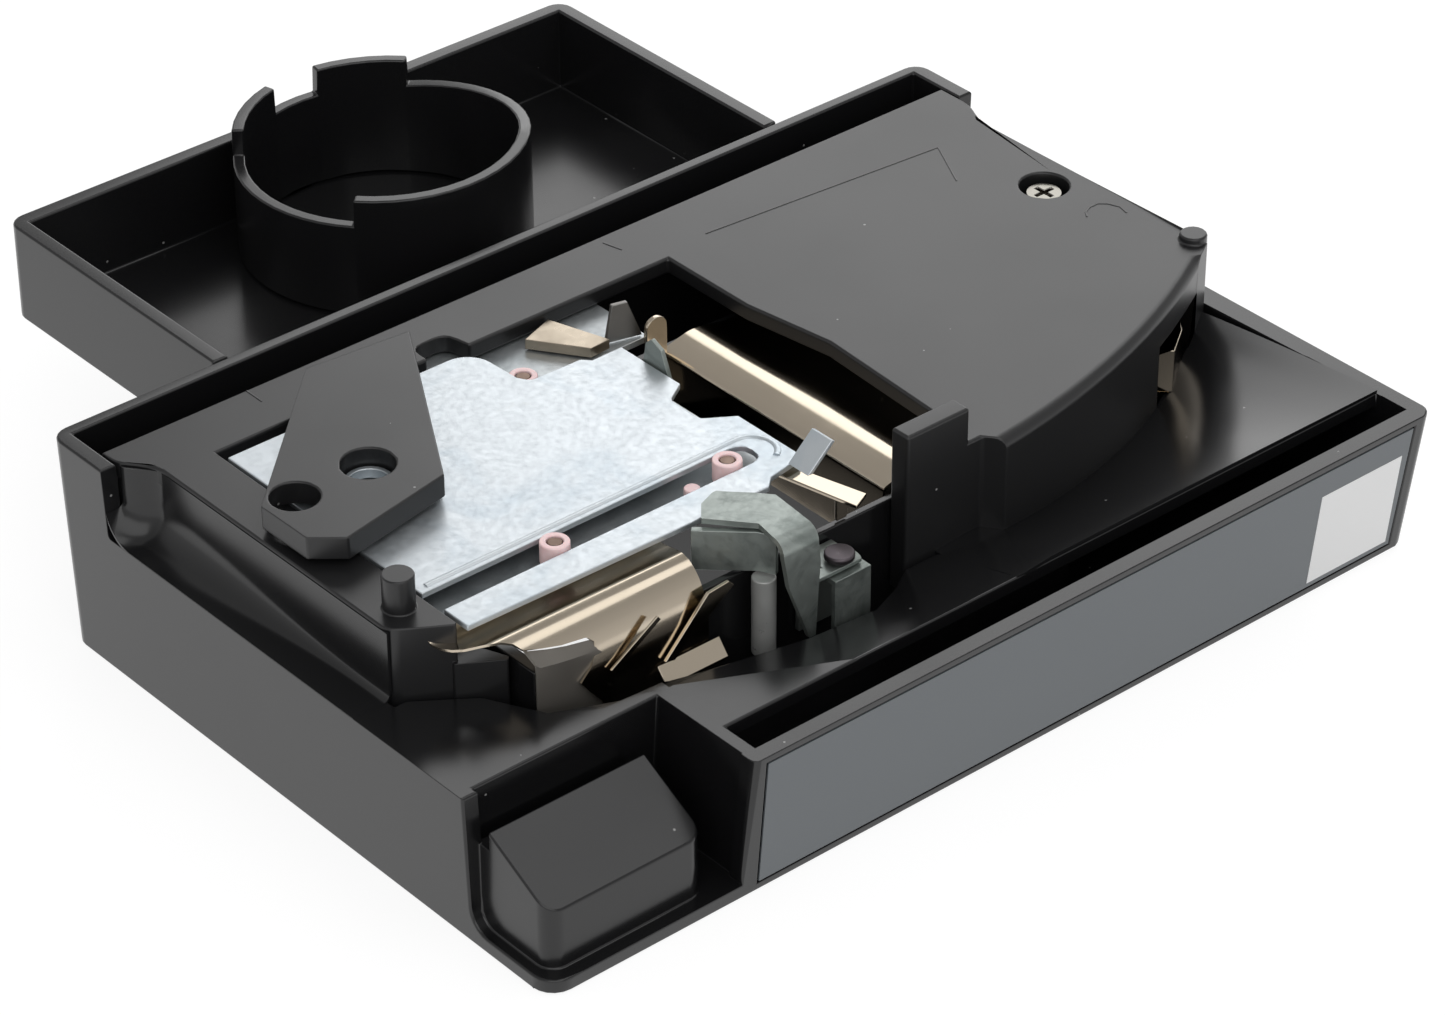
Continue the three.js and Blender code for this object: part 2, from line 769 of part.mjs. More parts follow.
for (const [name, [x, y]] of Object.entries(rollers)) {
  const top = rollerTop[name] ?? ROLLER.high;
  add(
    name,
    cut(
      cylinder(x, y, ROLLER.low, top, ROLLER.r),
      cylinder(x, y, ROLLER.low - 1, top + 1, ROLLER.bore, 16),
    ),
    NYLON,
  );
  const tail = CHASSIS.low - GAP;
  add(
    `${name}_rivet`,
    join(
      cylinder(x, y, tail - RIVET.high, tail, RIVET.head, 16),
      cylinder(x, y, tail - 0.2, top - 0.2, RIVET.r, 16),
    ),
    STEEL,
  );
}
for (const [name, [x, y]] of Object.entries(chassisScrews)) {
  const seat = CHASSIS.low - GAP;
  add(
    name,
    join(
      cylinder(x, y, seat - CHASSIS_SCREW.high, seat, CHASSIS_SCREW.head, 16),
      cylinder(x, y, seat - 0.2, CHASSIS_SCREW.top, CHASSIS_SCREW.r, 12),
    ),
    STEEL,
  );
}
add("stop_peg", cylinder(66.2, ROLLER.y, chassisTop + GAP, 37, 1.3, 16), NYLON);

function shuttle() {
  const plate = prism(
    [
      [16.8, 41.2],
      [73.6, 40.2],
      [75.6, 42],
      [83, 43.2, 1],
      [83, 58.2],
      [77.8, 61.6, 1],
      [78, 68.4, 1],
      [82.2, 71],
      [82.2, 85.3],
      [76.2, 85.3],
      [75, 86.7],
      [65.3, 87, 1],
      [64.2, 89],
      [63.8, 97.2, 2],
      [61, 100, 2],
      [16.8, 100],
    ],
    PLATE.low,
    PLATE.low + PLATE.thick,
  );
  const slotLow = ROLLER.y - PLATE_SLOT.half;
  const slotHigh = ROLLER.y + PLATE_SLOT.half;
  const slot = prism(
    [
      [10, slotLow],
      [PLATE_SLOT.end, slotLow, PLATE_SLOT.half],
      [PLATE_SLOT.end, slotHigh, PLATE_SLOT.half],
      [10, slotHigh],
    ],
    PLATE.low - 1,
    PLATE.low + 2,
  );
  return cut(plate, slot);
}
add("shuttle_plate", shuttle(), ZINC);
add(
  "shuttle_tab",
  alongX([[74, 37.2], [80.6, 37.2], [79.8, 41.8], [78.4, 43], [76, 42]], 82.5, 82.5 + SHEET),
  STEEL,
);
add("push_finger", alongY([[79.4, 39], [80.4, 38.9], [84.9, 43], [84.2, 43.4]], 38, 42.6), STEEL);

const plateTop = PLATE.low + PLATE.thick;
add(
  "lever_eyelet",
  cut(
    cylinder(LEVER.holeX, LEVER.holeY, plateTop + GAP, LEVER.low + 1, EYELET.outer),
    cylinder(LEVER.holeX, LEVER.holeY, plateTop - 1, LEVER.low + 4, EYELET.inner),
  ),
  ZINC,
);
add(
  "index_lever",
  cut(
    prism(
      [[36.6, 106.3], [55.4, 104.6], [34.2, 68.6], [13.3, 64.6], [8.6, 68.6], [8.5, 79.7]],
      LEVER.low,
      LEVER.low + LEVER.thick,
    ),
    cylinder(LEVER.holeX, LEVER.holeY, LEVER.low - 1, 50, LEVER.hole),
    cylinder(LEVER.sideX, LEVER.holeY, LEVER.low - 1, 50, LEVER.sideR),
  ),
  BLACK,
);

// ---------------------------------------------------------------- guides at the gate
function slideGuide() {
  const high = DECK_Z - SKIN - 0.4;
  const lip = [
    [GATE.right, 20],
    [GATE.right + SHEET, 20],
    [GATE.right + SHEET, 30, 2],
    [97.5, 34, 2],
    [106.4, high - SHEET],
    [106.4, high],
    [97, high - 0.2, 2],
    [GATE.right, 30.4, 2],
  ];
  const sheet = alongY(lip, CHAMBER.front + 0.5, CHAMBER_BACK - 0.5);
  const earY = CHAMBER_BACK - 1.8;
  const ear = join(
    box([88.8, earY, 24], [93, earY + SHEET, 38]),
    solid(
      new THREE.CylinderGeometry(1.9, 1.9, SHEET, 16).translate(90.7, earY + SHEET / 2, 38),
    ),
  );
  return join(sheet, ear);
}
add("slide_guide", slideGuide(), NICKEL);

// A tapered tab standing on the chassis, with its profile given along its own foot.
const uprightProfile = [[0, 0], [6.4, 0], [3.9, 6.7], [1.2, 6.7]];
const uprightTurn = new THREE.Matrix4()
  .makeRotationZ(THREE.MathUtils.degToRad(-15))
  .multiply(new THREE.Matrix4().makeRotationX(Math.PI / 2));
add(
  "upright_tab",
  solid(
    extruded(outline(uprightProfile), SHEET)
      .applyMatrix4(uprightTurn)
      .translate(84.2, 92.2, chassisTop + GAP),
  ),
  STEEL,
);
add(
  "trip_strap",
  prism([[73.4, 98.6], [80, 101], [83.6, 89.9], [79.6, 89.7]], chassisTop + GAP, PLATE.low - GAP),
  NICKEL,
);
const stripHigh = PLATE.low - 2 * GAP;
add(
  "entry_strip",
  join(
    prism([[78.4, 44.4], [81.5, 44], [85, 31], [81.6, 29.4]], stripHigh - 0.6, stripHigh),
    box([81.8, 34, CHAMBER.top + GAP], [83.8, 34.6, stripHigh - 0.3]),
  ),
  NICKEL,
);

// Nickel chute over the front wall of the take-up chamber, with its left end trimmed to a wave.
function exitChute() {
  const outside = [[46, 36.9], [39.5, 36.6, 5], [32.3, 33.6, 5], [32.3, 14]];
  const inside = [[32.9, 14], [32.9, 33.2, 5], [39.5, 36, 5], [46, 36.3]];
  const trimmed = [
    [10, 10],
    [10, 40],
    [16.4, 40],
    [16.4, 36.6],
    [20.4, 35.9],
    [22.1, 34.4],
    [27.3, 33.5],
    [33.2, 33.2, 1],
    [33.8, 32, 1],
    [32.1, 28],
    [30.4, 26.6],
    [34, 25],
    [35.6, 19],
    [35.6, 10],
  ];
  return cut(
    alongX([...outside, ...inside].reverse(), 12, 54.5),
    alongY([...trimmed].reverse(), 30, 50),
  );
}
add("exit_chute", exitChute(), NICKEL);
add("exit_rib", alongY([[44.4, 32.8], [45, 32], [36.2, 26.4], [35.4, 27.2]], 31.5, 31.9), NICKEL);
add(
  "exit_blade_inner",
  alongY([[54, 32.6], [58, 33], [59, 32], [47.4, 23.6], [45.6, 24]], 31.3, 31.9),
  NICKEL,
);
add(
  "exit_blade_outer",
  alongX([[32, 22.8], [29.9, 20.2], [29.9, 20.8], [32, 23.4]].reverse(), 44.6, 56.6),
  NICKEL,
);

// ---------------------------------------------------------------- transfer lever
const earTop = PIVOT.ear + SHEET;
function pivotBracket() {
  const top = PIVOT.ear - GAP;
  const frontY = 24.2;
  const left = 72.8;
  const right = 80;
  const backY = CHAMBER.front - CHAMBER.wall - GAP;
  return cut(
    join(
      box([left, frontY, top - 1], [right, backY, top]),
      box([left, frontY, 16.5], [right, frontY + 1, top]),
      box([left, backY - 1, 16.5], [right, backY, top]),
    ),
    cylinder(PIVOT.x, PIVOT.y, 20, 32, PIVOT.rivet + 0.15, 16),
  );
}
add("pivot_bracket", pivotBracket(), ZINC);
add(
  "pivot_rivet",
  join(
    cylinder(PIVOT.x, PIVOT.y, 27, earTop + GAP + 0.1, PIVOT.rivet, 16),
    cylinder(PIVOT.x, PIVOT.y, earTop + GAP, earTop + GAP + 1.1, PIVOT.head, 20),
  ),
  STEEL,
);

function transferLever() {
  const armLow = LEVER.low - 0.3;
  const bladeBack = 26.3;
  const blade = alongY(
    [[63.5, armLow + 1], [70.4, armLow + 1], [70.8, 34], [69.9, 21], [68.8, 21], [64.4, 31.8]],
    bladeBack - 1,
    bladeBack,
  );
  const arm = prism(
    [
      [58.6, 38.4],
      [61.2, 41.4],
      [65, 42.6],
      [71.2, 36],
      [70.4, bladeBack - 1],
      [63.5, bladeBack - 1],
      [64.2, 31.8],
    ],
    armLow,
    armLow + 1,
  );
  const ear = join(
    cylinder(PIVOT.x, PIVOT.y, PIVOT.ear, earTop, PIVOT.earR, 20),
    box([69.6, bladeBack - 1, PIVOT.ear], [PIVOT.x, PIVOT.y + 2, earTop]),
  );
  return cut(
    join(blade, arm, ear),
    cylinder(PIVOT.x, PIVOT.y, 28, 33, PIVOT.rivet + 0.15, 16),
  );
}
add("transfer_lever", transferLever(), ZINC);
add(
  "lever_flange",
  prism(
    [[56.6, 38.4], [57.4, 39.2], [64.8, 32.2], [66, 29.4], [65.2, 29], [63.8, 31.6]],
    CHAMBER.top + 0.5,
    LEVER.low - 0.6,
  ),
  ZINC,
);
add("lever_rod", cylinder(64, 30.4, 18, CHAMBER.top + 0.2, 1.9, 20), STEEL);

export default part;
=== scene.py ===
# %% [markdown]
# # Slide stack loader, underside up
#
# A stack loader sits on a rotary-tray slide projector in place of the tray and feeds it mounted
# slides from a stack. Here it lies on its back, so the deck, the transport and the collar that
# normally face the projector are on top. The CAD solids are loaded first: they fix every place
# and size, and every piece made below is measured from them.

# %% Load the fixed frame
import json
import math

import bmesh
import bpy
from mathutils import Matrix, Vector

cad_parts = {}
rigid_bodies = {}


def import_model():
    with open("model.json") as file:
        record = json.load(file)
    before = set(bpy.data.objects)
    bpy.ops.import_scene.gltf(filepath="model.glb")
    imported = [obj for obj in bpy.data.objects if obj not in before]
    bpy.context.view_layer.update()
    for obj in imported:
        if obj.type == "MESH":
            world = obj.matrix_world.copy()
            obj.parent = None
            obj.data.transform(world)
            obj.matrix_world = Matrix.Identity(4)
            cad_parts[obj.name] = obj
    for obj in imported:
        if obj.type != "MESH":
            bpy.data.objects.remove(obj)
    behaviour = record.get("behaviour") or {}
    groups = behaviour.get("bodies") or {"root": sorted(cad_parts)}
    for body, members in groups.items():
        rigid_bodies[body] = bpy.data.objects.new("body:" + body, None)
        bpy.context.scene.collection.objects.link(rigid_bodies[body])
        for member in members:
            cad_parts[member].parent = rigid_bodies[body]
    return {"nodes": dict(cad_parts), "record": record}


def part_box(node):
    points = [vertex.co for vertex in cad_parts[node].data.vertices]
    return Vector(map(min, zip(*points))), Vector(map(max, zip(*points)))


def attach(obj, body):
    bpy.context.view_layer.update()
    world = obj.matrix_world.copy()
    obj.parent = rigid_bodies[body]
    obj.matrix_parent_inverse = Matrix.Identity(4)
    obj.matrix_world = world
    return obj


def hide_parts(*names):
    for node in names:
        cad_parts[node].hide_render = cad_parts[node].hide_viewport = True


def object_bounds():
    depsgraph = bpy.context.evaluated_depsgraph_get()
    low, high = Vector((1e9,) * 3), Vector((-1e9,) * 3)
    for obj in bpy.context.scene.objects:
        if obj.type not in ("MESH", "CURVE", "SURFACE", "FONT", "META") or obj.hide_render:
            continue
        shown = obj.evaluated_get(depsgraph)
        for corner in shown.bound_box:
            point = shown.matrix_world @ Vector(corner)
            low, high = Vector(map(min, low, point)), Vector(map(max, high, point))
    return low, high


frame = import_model()
cad_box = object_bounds()
low, high = (Vector(corner) for corner in cad_box)
print("CAD box in mm:", [round(1000 * v, 1) for v in (*low, *high)])

# %% [markdown]
# ## Where things are
#
# The loader is described in millimetres from the left front corner of its body: X along the
# label wall, Y towards the tray, Z up. One helper turns such a corner measure into the frame's
# metres, so the numbers below read like a workshop drawing.

# %% The corner measure
MM = 0.001
hub_low, hub_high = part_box("hub_collar")
LABEL_WALL_Y = 1.6135  # the label wall's rim lies this far from the corner's own Y = 0
ORIGIN = Vector((low.x, low.y - LABEL_WALL_Y * MM, 0))


def at(x, y, z=0.0):
    """A point of the frame, in metres, from a corner measure in millimetres."""
    return ORIGIN + Vector((x, y, z)) * MM


HUB = (hub_low + hub_high) / 2
print("hub centre from the corner, mm:", [round(v / MM, 2) for v in (HUB - ORIGIN)])

# %% [markdown]
# ## Modelling helpers
#
# By hand, a modeller selects one thing, enters edit mode, works on some faces and applies the
# modifiers. These few helpers do just that, so that the cells for each piece stay short.


# %% Selecting and applying
def only(piece):
    """Leaves one object selected and active."""
    bpy.ops.object.select_all(action="DESELECT")
    piece.select_set(True)
    bpy.context.view_layer.objects.active = piece
    return piece


def apply_modifiers(piece):
    """Turns what the modifiers show into the piece's own mesh."""
    only(piece)
    for modifier in list(piece.modifiers):
        bpy.ops.object.modifier_apply(modifier=modifier.name)
    return piece


def settle(piece):
    """Puts the object's place into its mesh, so that the object itself sits at the origin."""
    only(piece)
    bpy.ops.object.transform_apply(location=True, rotation=True, scale=True)
    return piece


def smooth(piece, degrees=40):
    """Smooth shading that keeps flat faces flat, however small the rounded edges round them."""
    only(piece)
    bpy.ops.object.shade_smooth_by_angle(angle=math.radians(degrees))
    weighted = piece.modifiers.new("flat_faces", "WEIGHTED_NORMAL")
    weighted.keep_sharp = True
    weighted.weight = 80
    return apply_modifiers(piece)


SLIVER = 0.08  # corners nearer than this, in mm, become one before the edges are rounded
ROOM_SHARE = 0.42  # a bevel may take this share of the shortest edge that it meets
LEAST_WEIGHT = 0.12  # an edge with less room than this stays sharp


def soften(piece, width, segments=3, degrees=32):
    """Rounds every edge sharper than the angle, as a mould or a press leaves it.

    The bevel weight of an edge is 1 where there is room for the whole radius, and less where a
    short edge beside it leaves less room. Only the edges that meet at a corner are looked at: two
    long edges side by side, nearer than twice the radius, still cross when both are rounded.
    """
    only(piece)
    shape = bmesh.new()
    shape.from_mesh(piece.data)
    bmesh.ops.remove_doubles(shape, verts=shape.verts, dist=SLIVER * MM)
    weights = shape.edges.layers.float.new("bevel_weight_edge")
    room = {v: min((e.calc_length() for e in v.link_edges), default=0) for v in shape.verts}
    for edge in shape.edges:
        if len(edge.link_faces) == 2 and edge.calc_face_angle(0) > math.radians(degrees):
            space = min(room[v] for v in edge.verts)
            weight = min(1.0, ROOM_SHARE * space / (width * MM))
            edge[weights] = weight if weight > LEAST_WEIGHT else 0.0
    shape.to_mesh(piece.data)
    shape.free()
    bevel = piece.modifiers.new("edges", "BEVEL")
    bevel.width = width * MM
    bevel.segments = segments
    bevel.limit_method = "WEIGHT"
    bevel.use_clamp_overlap = False
    return apply_modifiers(piece)


def corner_place(point):
    """The inverse of at(): a mesh point as a corner measure in millimetres."""
    return (point - ORIGIN) / MM


def round_edges(piece, radius, wanted, segments=5):
    """Bevels, in edit mode, the edges that wanted(a, b) picks from their ends' corner measures."""
    only(piece)
    bpy.ops.object.mode_set(mode="EDIT")
    bpy.ops.mesh.select_mode(type="EDGE")
    bpy.ops.mesh.select_all(action="DESELECT")
    bpy.ops.object.mode_set(mode="OBJECT")
    mesh = piece.data
    ends = [corner_place(vertex.co) for vertex in mesh.vertices]
    picked = 0
    for edge in mesh.edges:
        a, b = (ends[i] for i in edge.vertices)
        edge.select = bool(wanted(a, b))
        picked += edge.select
    bpy.ops.object.mode_set(mode="EDIT")
    bpy.ops.mesh.bevel(
        offset=radius * MM,
        segments=segments,
        affect="EDGES",
        clamp_overlap=True,
        miter_outer="SHARP",
    )
    bpy.ops.object.mode_set(mode="OBJECT")
    print(f"{piece.name}: {picked} edges rounded to {radius} mm")
    return piece


def between(*pairs, reach=0.4):
    """Picks the edges that run between the given pairs of points."""
    targets = [(Vector(a), Vector(b)) for a, b in pairs]

    def wanted(a, b):
        return any(
            ((a - p).length < reach and (b - q).length < reach)
            or ((a - q).length < reach and (b - p).length < reach)
            for p, q in targets
        )

    return wanted


# %% [markdown]
# A moulded or pressed piece already has its true shape in the CAD, but with knife-sharp edges.
# Its copy is merged, its coplanar triangles are dissolved into whole faces, and then the edges
# are rounded: that small radius is what catches the light on a real moulding.


# %% Copies of CAD nodes
SAME_POINT = 0.004  # corners nearer than this, in mm, are one
FLAT_ANGLE = 0.6  # faces that differ by less, in degrees, are one flat face


def copy_of(node, name):
    """A clean copy of a CAD node: the node's own mesh is left alone."""
    only(frame["nodes"][node])
    bpy.ops.object.duplicate()
    piece = bpy.context.active_object
    bpy.ops.object.parent_clear(type="CLEAR_KEEP_TRANSFORM")
    for key in list(piece.keys()):
        del piece[key]
    piece.name = piece.data.name = name
    piece.data.materials.clear()
    bpy.ops.object.mode_set(mode="EDIT")
    bpy.ops.mesh.select_all(action="SELECT")
    bpy.ops.mesh.remove_doubles(threshold=SAME_POINT * MM)
    bpy.ops.mesh.dissolve_limited(angle_limit=math.radians(FLAT_ANGLE))
    bpy.ops.mesh.normals_make_consistent(inside=False)
    bpy.ops.object.mode_set(mode="OBJECT")
    return piece


def body_of(node):
    bodies = frame["record"]["behaviour"]["bodies"]
    return next(name for name, nodes in bodies.items() if node in nodes)


def stands_for(piece, node, material):
    """Gives a finished piece its material and the body of the CAD node that it replaces, and hides
    that node.
    """
    piece.data.materials.clear()
    piece.data.materials.append(material)
    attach(piece, body_of(node))
    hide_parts(node)
    return piece


# %% [markdown]
# Some faces are curved two ways, or follow a line that a copy of a flat-faced solid can't show.
# Such a face starts as a flat grid whose points are put on their rows, and a Solidify modifier
# gives it its wall. A piece with a plain outline starts as a filled circle whose points are put on
# the outline, and is extruded.


# %% Grids and outlines
def surface_piece(name, rows, thickness, side=-1):
    """A sheet through rows of corner measures, all of one length."""
    bpy.ops.object.select_all(action="DESELECT")
    across, along = len(rows[0]), len(rows)
    bpy.ops.mesh.primitive_grid_add(x_subdivisions=across - 1, y_subdivisions=along - 1, size=1)
    piece = bpy.context.active_object
    piece.name = piece.data.name = name
    points = sorted(piece.data.vertices, key=lambda v: (round(v.co.y, 5), v.co.x))
    for vertex, place in zip(points, [place for row in rows for place in row]):
        vertex.co = at(*place)
    wall = piece.modifiers.new("wall", "SOLIDIFY")
    wall.thickness = thickness * MM
    wall.offset = side
    apply_modifiers(piece)
    bpy.ops.object.mode_set(mode="EDIT")
    bpy.ops.mesh.select_all(action="SELECT")
    bpy.ops.mesh.remove_doubles(threshold=0.002 * MM)
    bpy.ops.mesh.normals_make_consistent(inside=False)
    bpy.ops.object.mode_set(mode="OBJECT")
    return piece


def outline_piece(name, outline, thickness):
    """A plate with the given outline, extruded by a vector of millimetres."""
    bpy.ops.object.select_all(action="DESELECT")
    bpy.ops.mesh.primitive_circle_add(vertices=len(outline), fill_type="NGON", radius=1)
    piece = bpy.context.active_object
    piece.name = piece.data.name = name
    for vertex, place in zip(piece.data.vertices, outline):
        vertex.co = at(*place)
    bpy.ops.object.mode_set(mode="EDIT")
    bpy.ops.mesh.select_all(action="SELECT")
    bpy.ops.mesh.extrude_region_move(TRANSFORM_OT_translate={"value": Vector(thickness) * MM})
    bpy.ops.mesh.select_all(action="SELECT")
    bpy.ops.mesh.normals_make_consistent(inside=False)
    bpy.ops.object.mode_set(mode="OBJECT")
    return piece


def trim_piece(piece, body, material):
    """Gives a piece that stands for no CAD node of its own its material and its body."""
    piece.data.materials.clear()
    piece.data.materials.append(material)
    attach(piece, body)
    return piece


def flow(knots, value):
    """A smooth curve through (position, value) knots, level at its ends."""
    if value <= knots[0][0]:
        return knots[0][1]
    for (p, a), (q, b) in zip(knots, knots[1:]):
        if value <= q:
            share = (value - p) / (q - p)
            share = share * share * (3 - 2 * share)
            return a + (b - a) * share
    return knots[-1][1]


def steps(start, end, count):
    return [start + (end - start) * i / (count - 1) for i in range(count)]


# %% [markdown]
# ## Materials
#
# Each finish is named for what it is on the real object. Colours are written as sRGB hex values,
# as a paint chart gives them, and turned to the linear values that the shader wants.


# %% Colour and node helpers
def linear(hex_colour):
    channels = [int(hex_colour[i : i + 2], 16) / 255 for i in (1, 3, 5)]
    values = [c / 12.92 if c <= 0.04045 else ((c + 0.055) / 1.055) ** 2.4 for c in channels]
    return (*values, 1.0)


def add_node(material, kind, inputs=None, **settings):
    """Adds a node; inputs maps a socket to a value or to another node's output."""
    tree = material.node_tree
    made = tree.nodes.new(kind)
    for key, value in settings.items():
        setattr(made, key, value)
    for socket, value in (inputs or {}).items():
        if isinstance(value, bpy.types.NodeSocket):
            tree.links.new(value, made.inputs[socket])
        else:
            made.inputs[socket].default_value = value
    return made


def new_finish(name, **shader):
    material = bpy.data.materials.new(name)
    material.use_nodes = True
    surface = material.node_tree.nodes["Principled BSDF"]
    for socket, value in shader.items():
        surface.inputs[socket.replace("_", " ")].default_value = value
    return material, surface


def ramp(material, factor, stops):
    """A colour ramp from (position, colour) stops."""
    made = add_node(material, "ShaderNodeValToRGB", {"Fac": factor})
    elements = made.color_ramp.elements
    while len(elements) < len(stops):
        elements.new(0.5)
    for element, (position, colour) in zip(elements, stops):
        element.position = position
        element.color = colour
    return made


def grey(value):
    return (value, value, value, 1)


def link(material, output, socket):
    material.node_tree.links.new(output, socket)


# %% [markdown]
# **Moulded black ABS.** The shell is injection-moulded ABS, IOR about 1.52, with a semi-gloss
# face. Two things keep it from looking like a flat black: the gloss changes a little over a few
# centimetres where hands have polished it, and fine dust lies on it as pale specks.


# %% Black ABS
def moulded_black(name, base, gloss_low, gloss_high, dust):
    material, surface = new_finish(name, IOR=1.52)
    place = add_node(material, "ShaderNodeTexCoord").outputs["Object"]
    wear = add_node(
        material,
        "ShaderNodeTexNoise",
        {"Vector": place, "Scale": 28.0, "Detail": 6.0, "Roughness": 0.55},
    )
    gloss = add_node(
        material,
        "ShaderNodeMapRange",
        {
            "Value": wear.outputs["Fac"],
            "From Min": 0.35,
            "From Max": 0.68,
            "To Min": gloss_low,
            "To Max": gloss_high,
        },
    )
    link(material, gloss.outputs["Result"], surface.inputs["Roughness"])
    # Dust specks 0.15 to 0.3 mm across, drawn a little coarser than real dust so that they show.
    specks = add_node(
        material,
        "ShaderNodeTexVoronoi",
        {"Vector": place, "Scale": 260.0, "Randomness": 1.0},
    )
    inside = add_node(
        material,
        "ShaderNodeMath",
        {0: specks.outputs["Distance"], 1: 0.055},
        operation="LESS_THAN",
    )
    rare = add_node(material, "ShaderNodeSeparateColor", {"Color": specks.outputs["Color"]})
    chosen = add_node(
        material, "ShaderNodeMath", {0: rare.outputs["Red"], 1: dust}, operation="LESS_THAN"
    )
    shown = add_node(
        material,
        "ShaderNodeMath",
        {0: inside.outputs[0], 1: chosen.outputs[0]},
        operation="MULTIPLY",
    )
    # A colour Mix has its two colours on sockets 6 and 7, and its result on output 2.
    colour = add_node(
        material, "ShaderNodeMix", {"Factor": shown.outputs[0]}, data_type="RGBA"
    )
    colour.inputs[6].default_value = linear(base)
    colour.inputs[7].default_value = linear("#8d8d8c")
    link(material, colour.outputs[2], surface.inputs["Base Color"])
    # A faint moulded unevenness, about 1.5 mm between its swells.
    swell = add_node(
        material,
        "ShaderNodeTexNoise",
        {"Vector": place, "Scale": 700.0, "Detail": 3.0},
    )
    bump = add_node(
        material,
        "ShaderNodeBump",
        {"Height": swell.outputs["Fac"], "Strength": 0.06, "Distance": 0.02 * MM},
    )
    link(material, bump.outputs["Normal"], surface.inputs["Normal"])
    return material


shell_black = moulded_black("moulded_abs_shell", "#161617", 0.19, 0.25, 0.16)
deck_black = moulded_black("moulded_abs_deck", "#1c1c1d", 0.31, 0.35, 0.14)
# The deck's fine lines get a black darker than the deck: painted shade, for the shade inside their
# grooves.
groove_shade_black = moulded_black("moulded_abs_line_painted_shade", "#0c0c0d", 0.2, 0.26, 0.0)
lever_black = moulded_black("moulded_black_lever", "#1f1f20", 0.3, 0.36, 0.18)


# %% [markdown]
# **Zinc passivate.** The shuttle is pressed steel with a clear blue-white passivate. It is not
# one colour: the coating dries in cloudy patches from pale blue to warm grey, with fine draw
# lines from the rolled sheet and a few darker stains.


# %% Zinc-plated sheet
def zinc_sheet(name, pale, deep, stain, scale):
    material, surface = new_finish(name, Metallic=0.85, IOR=1.5)
    place = add_node(material, "ShaderNodeTexCoord").outputs["Object"]
    clouds = add_node(
        material,
        "ShaderNodeTexNoise",
        {"Vector": place, "Scale": scale, "Detail": 8.0, "Roughness": 0.62, "Distortion": 0.6},
    )
    tint = ramp(
        material,
        clouds.outputs["Fac"],
        [(0.3, linear(deep)), (0.5, linear(pale)), (0.66, linear(pale)), (0.8, linear(stain))],
    )
    link(material, tint.outputs["Color"], surface.inputs["Base Color"])
    fine = add_node(
        material,
        "ShaderNodeTexNoise",
        {"Vector": place, "Scale": 900.0, "Detail": 4.0, "Roughness": 0.7},
    )
    gloss = add_node(
        material,
        "ShaderNodeMapRange",
        {
            "Value": fine.outputs["Fac"],
            "From Min": 0.3,
            "From Max": 0.7,
            "To Min": 0.34,
            "To Max": 0.52,
        },
    )
    link(material, gloss.outputs["Result"], surface.inputs["Roughness"])
    bump = add_node(
        material,
        "ShaderNodeBump",
        {"Height": fine.outputs["Fac"], "Strength": 0.15, "Distance": 0.02 * MM},
    )
    link(material, bump.outputs["Normal"], surface.inputs["Normal"])
    return material


shuttle_zinc = zinc_sheet("zinc_passivate_sheet", "#d0d6da", "#bfc9d0", "#c9c9c4", 60.0)
lever_zinc = zinc_sheet("zinc_lever", "#9aa19d", "#757d79", "#84877f", 140.0)


# %% [markdown]
# ** Nickel, steel and nylon.** The guides are bright-nickelled strip, almost a mirror. The
# chassis has a zinc finish; its screws and the upright tab are dull steel. The rollers are pink
# nylon, a soft waxy plastic that lets a little light into itself.


# %% Bright and dull metals
def plain_metal(name, colour, rough, scale, metallic=1.0):
    material, surface = new_finish(name, Metallic=metallic, Base_Color=linear(colour))
    place = add_node(material, "ShaderNodeTexCoord").outputs["Object"]
    cloud = add_node(
        material,
        "ShaderNodeTexNoise",
        {"Vector": place, "Scale": scale, "Detail": 6.0, "Roughness": 0.6},
    )
    gloss = add_node(
        material,
        "ShaderNodeMapRange",
        {
            "Value": cloud.outputs["Fac"],
            "From Min": 0.3,
            "From Max": 0.7,
            "To Min": rough * 0.7,
            "To Max": rough * 1.4,
        },
    )
    link(material, gloss.outputs["Result"], surface.inputs["Roughness"])
    return material


nickel = plain_metal("bright_nickel_strip", "#c6baa8", 0.12, 80.0)
dull_steel = plain_metal("dull_steel_sheet", "#8d8b88", 0.4, 120.0)
dark_rivet = plain_metal("browned_rivet", "#5a5458", 0.35, 300.0)
tube_rivet = plain_metal("brown_tube_rivet", "#7d6a5f", 0.4, 300.0)
screw_steel = plain_metal("plated_screw", "#8f8c85", 0.2, 200.0)
rod_steel = plain_metal("grey_plated_rod", "#a9aaa8", 0.38, 500.0, metallic=0.4)
satin_nickel = plain_metal("satin_nickel_strap", "#a89d8d", 0.32, 200.0)
chassis_zinc = zinc_sheet("chassis_zinc", "#c3c8ca", "#a9b0b3", "#b5b5b0", 90.0)
spring_wire = plain_metal("spring_wire", "#a3a29e", 0.3, 300.0)

grey_sheet = plain_metal("dull_grey_sheet", "#77736d", 0.42, 60.0, metallic=0.6)

pink_nylon, nylon_surface = new_finish(
    "pink_nylon", Base_Color=linear("#ffdcdc"), Roughness=0.42, IOR=1.53
)
nylon_surface.inputs["Subsurface Weight"].default_value = 0.15
nylon_surface.inputs["Subsurface Radius"].default_value = (0.0012, 0.0006, 0.0005)

label_sheet, _ = new_finish(
    "plain_label_sheet", Base_Color=linear("#63686c"), Roughness=0.34, IOR=1.5
)
patch_sheet, _ = new_finish(
    "plain_patch_sheet", Base_Color=linear("#f4f4f4"), Roughness=0.34, IOR=1.5
)
print(len(bpy.data.materials), "materials")

# %% [markdown]
# ## The pieces
#
# First come the pieces whose CAD shape is already right. Each gets its rounded edges and its
# finish. The radius is that of the real piece: about 0.4 mm on mouldings and 0.1 mm on strip.

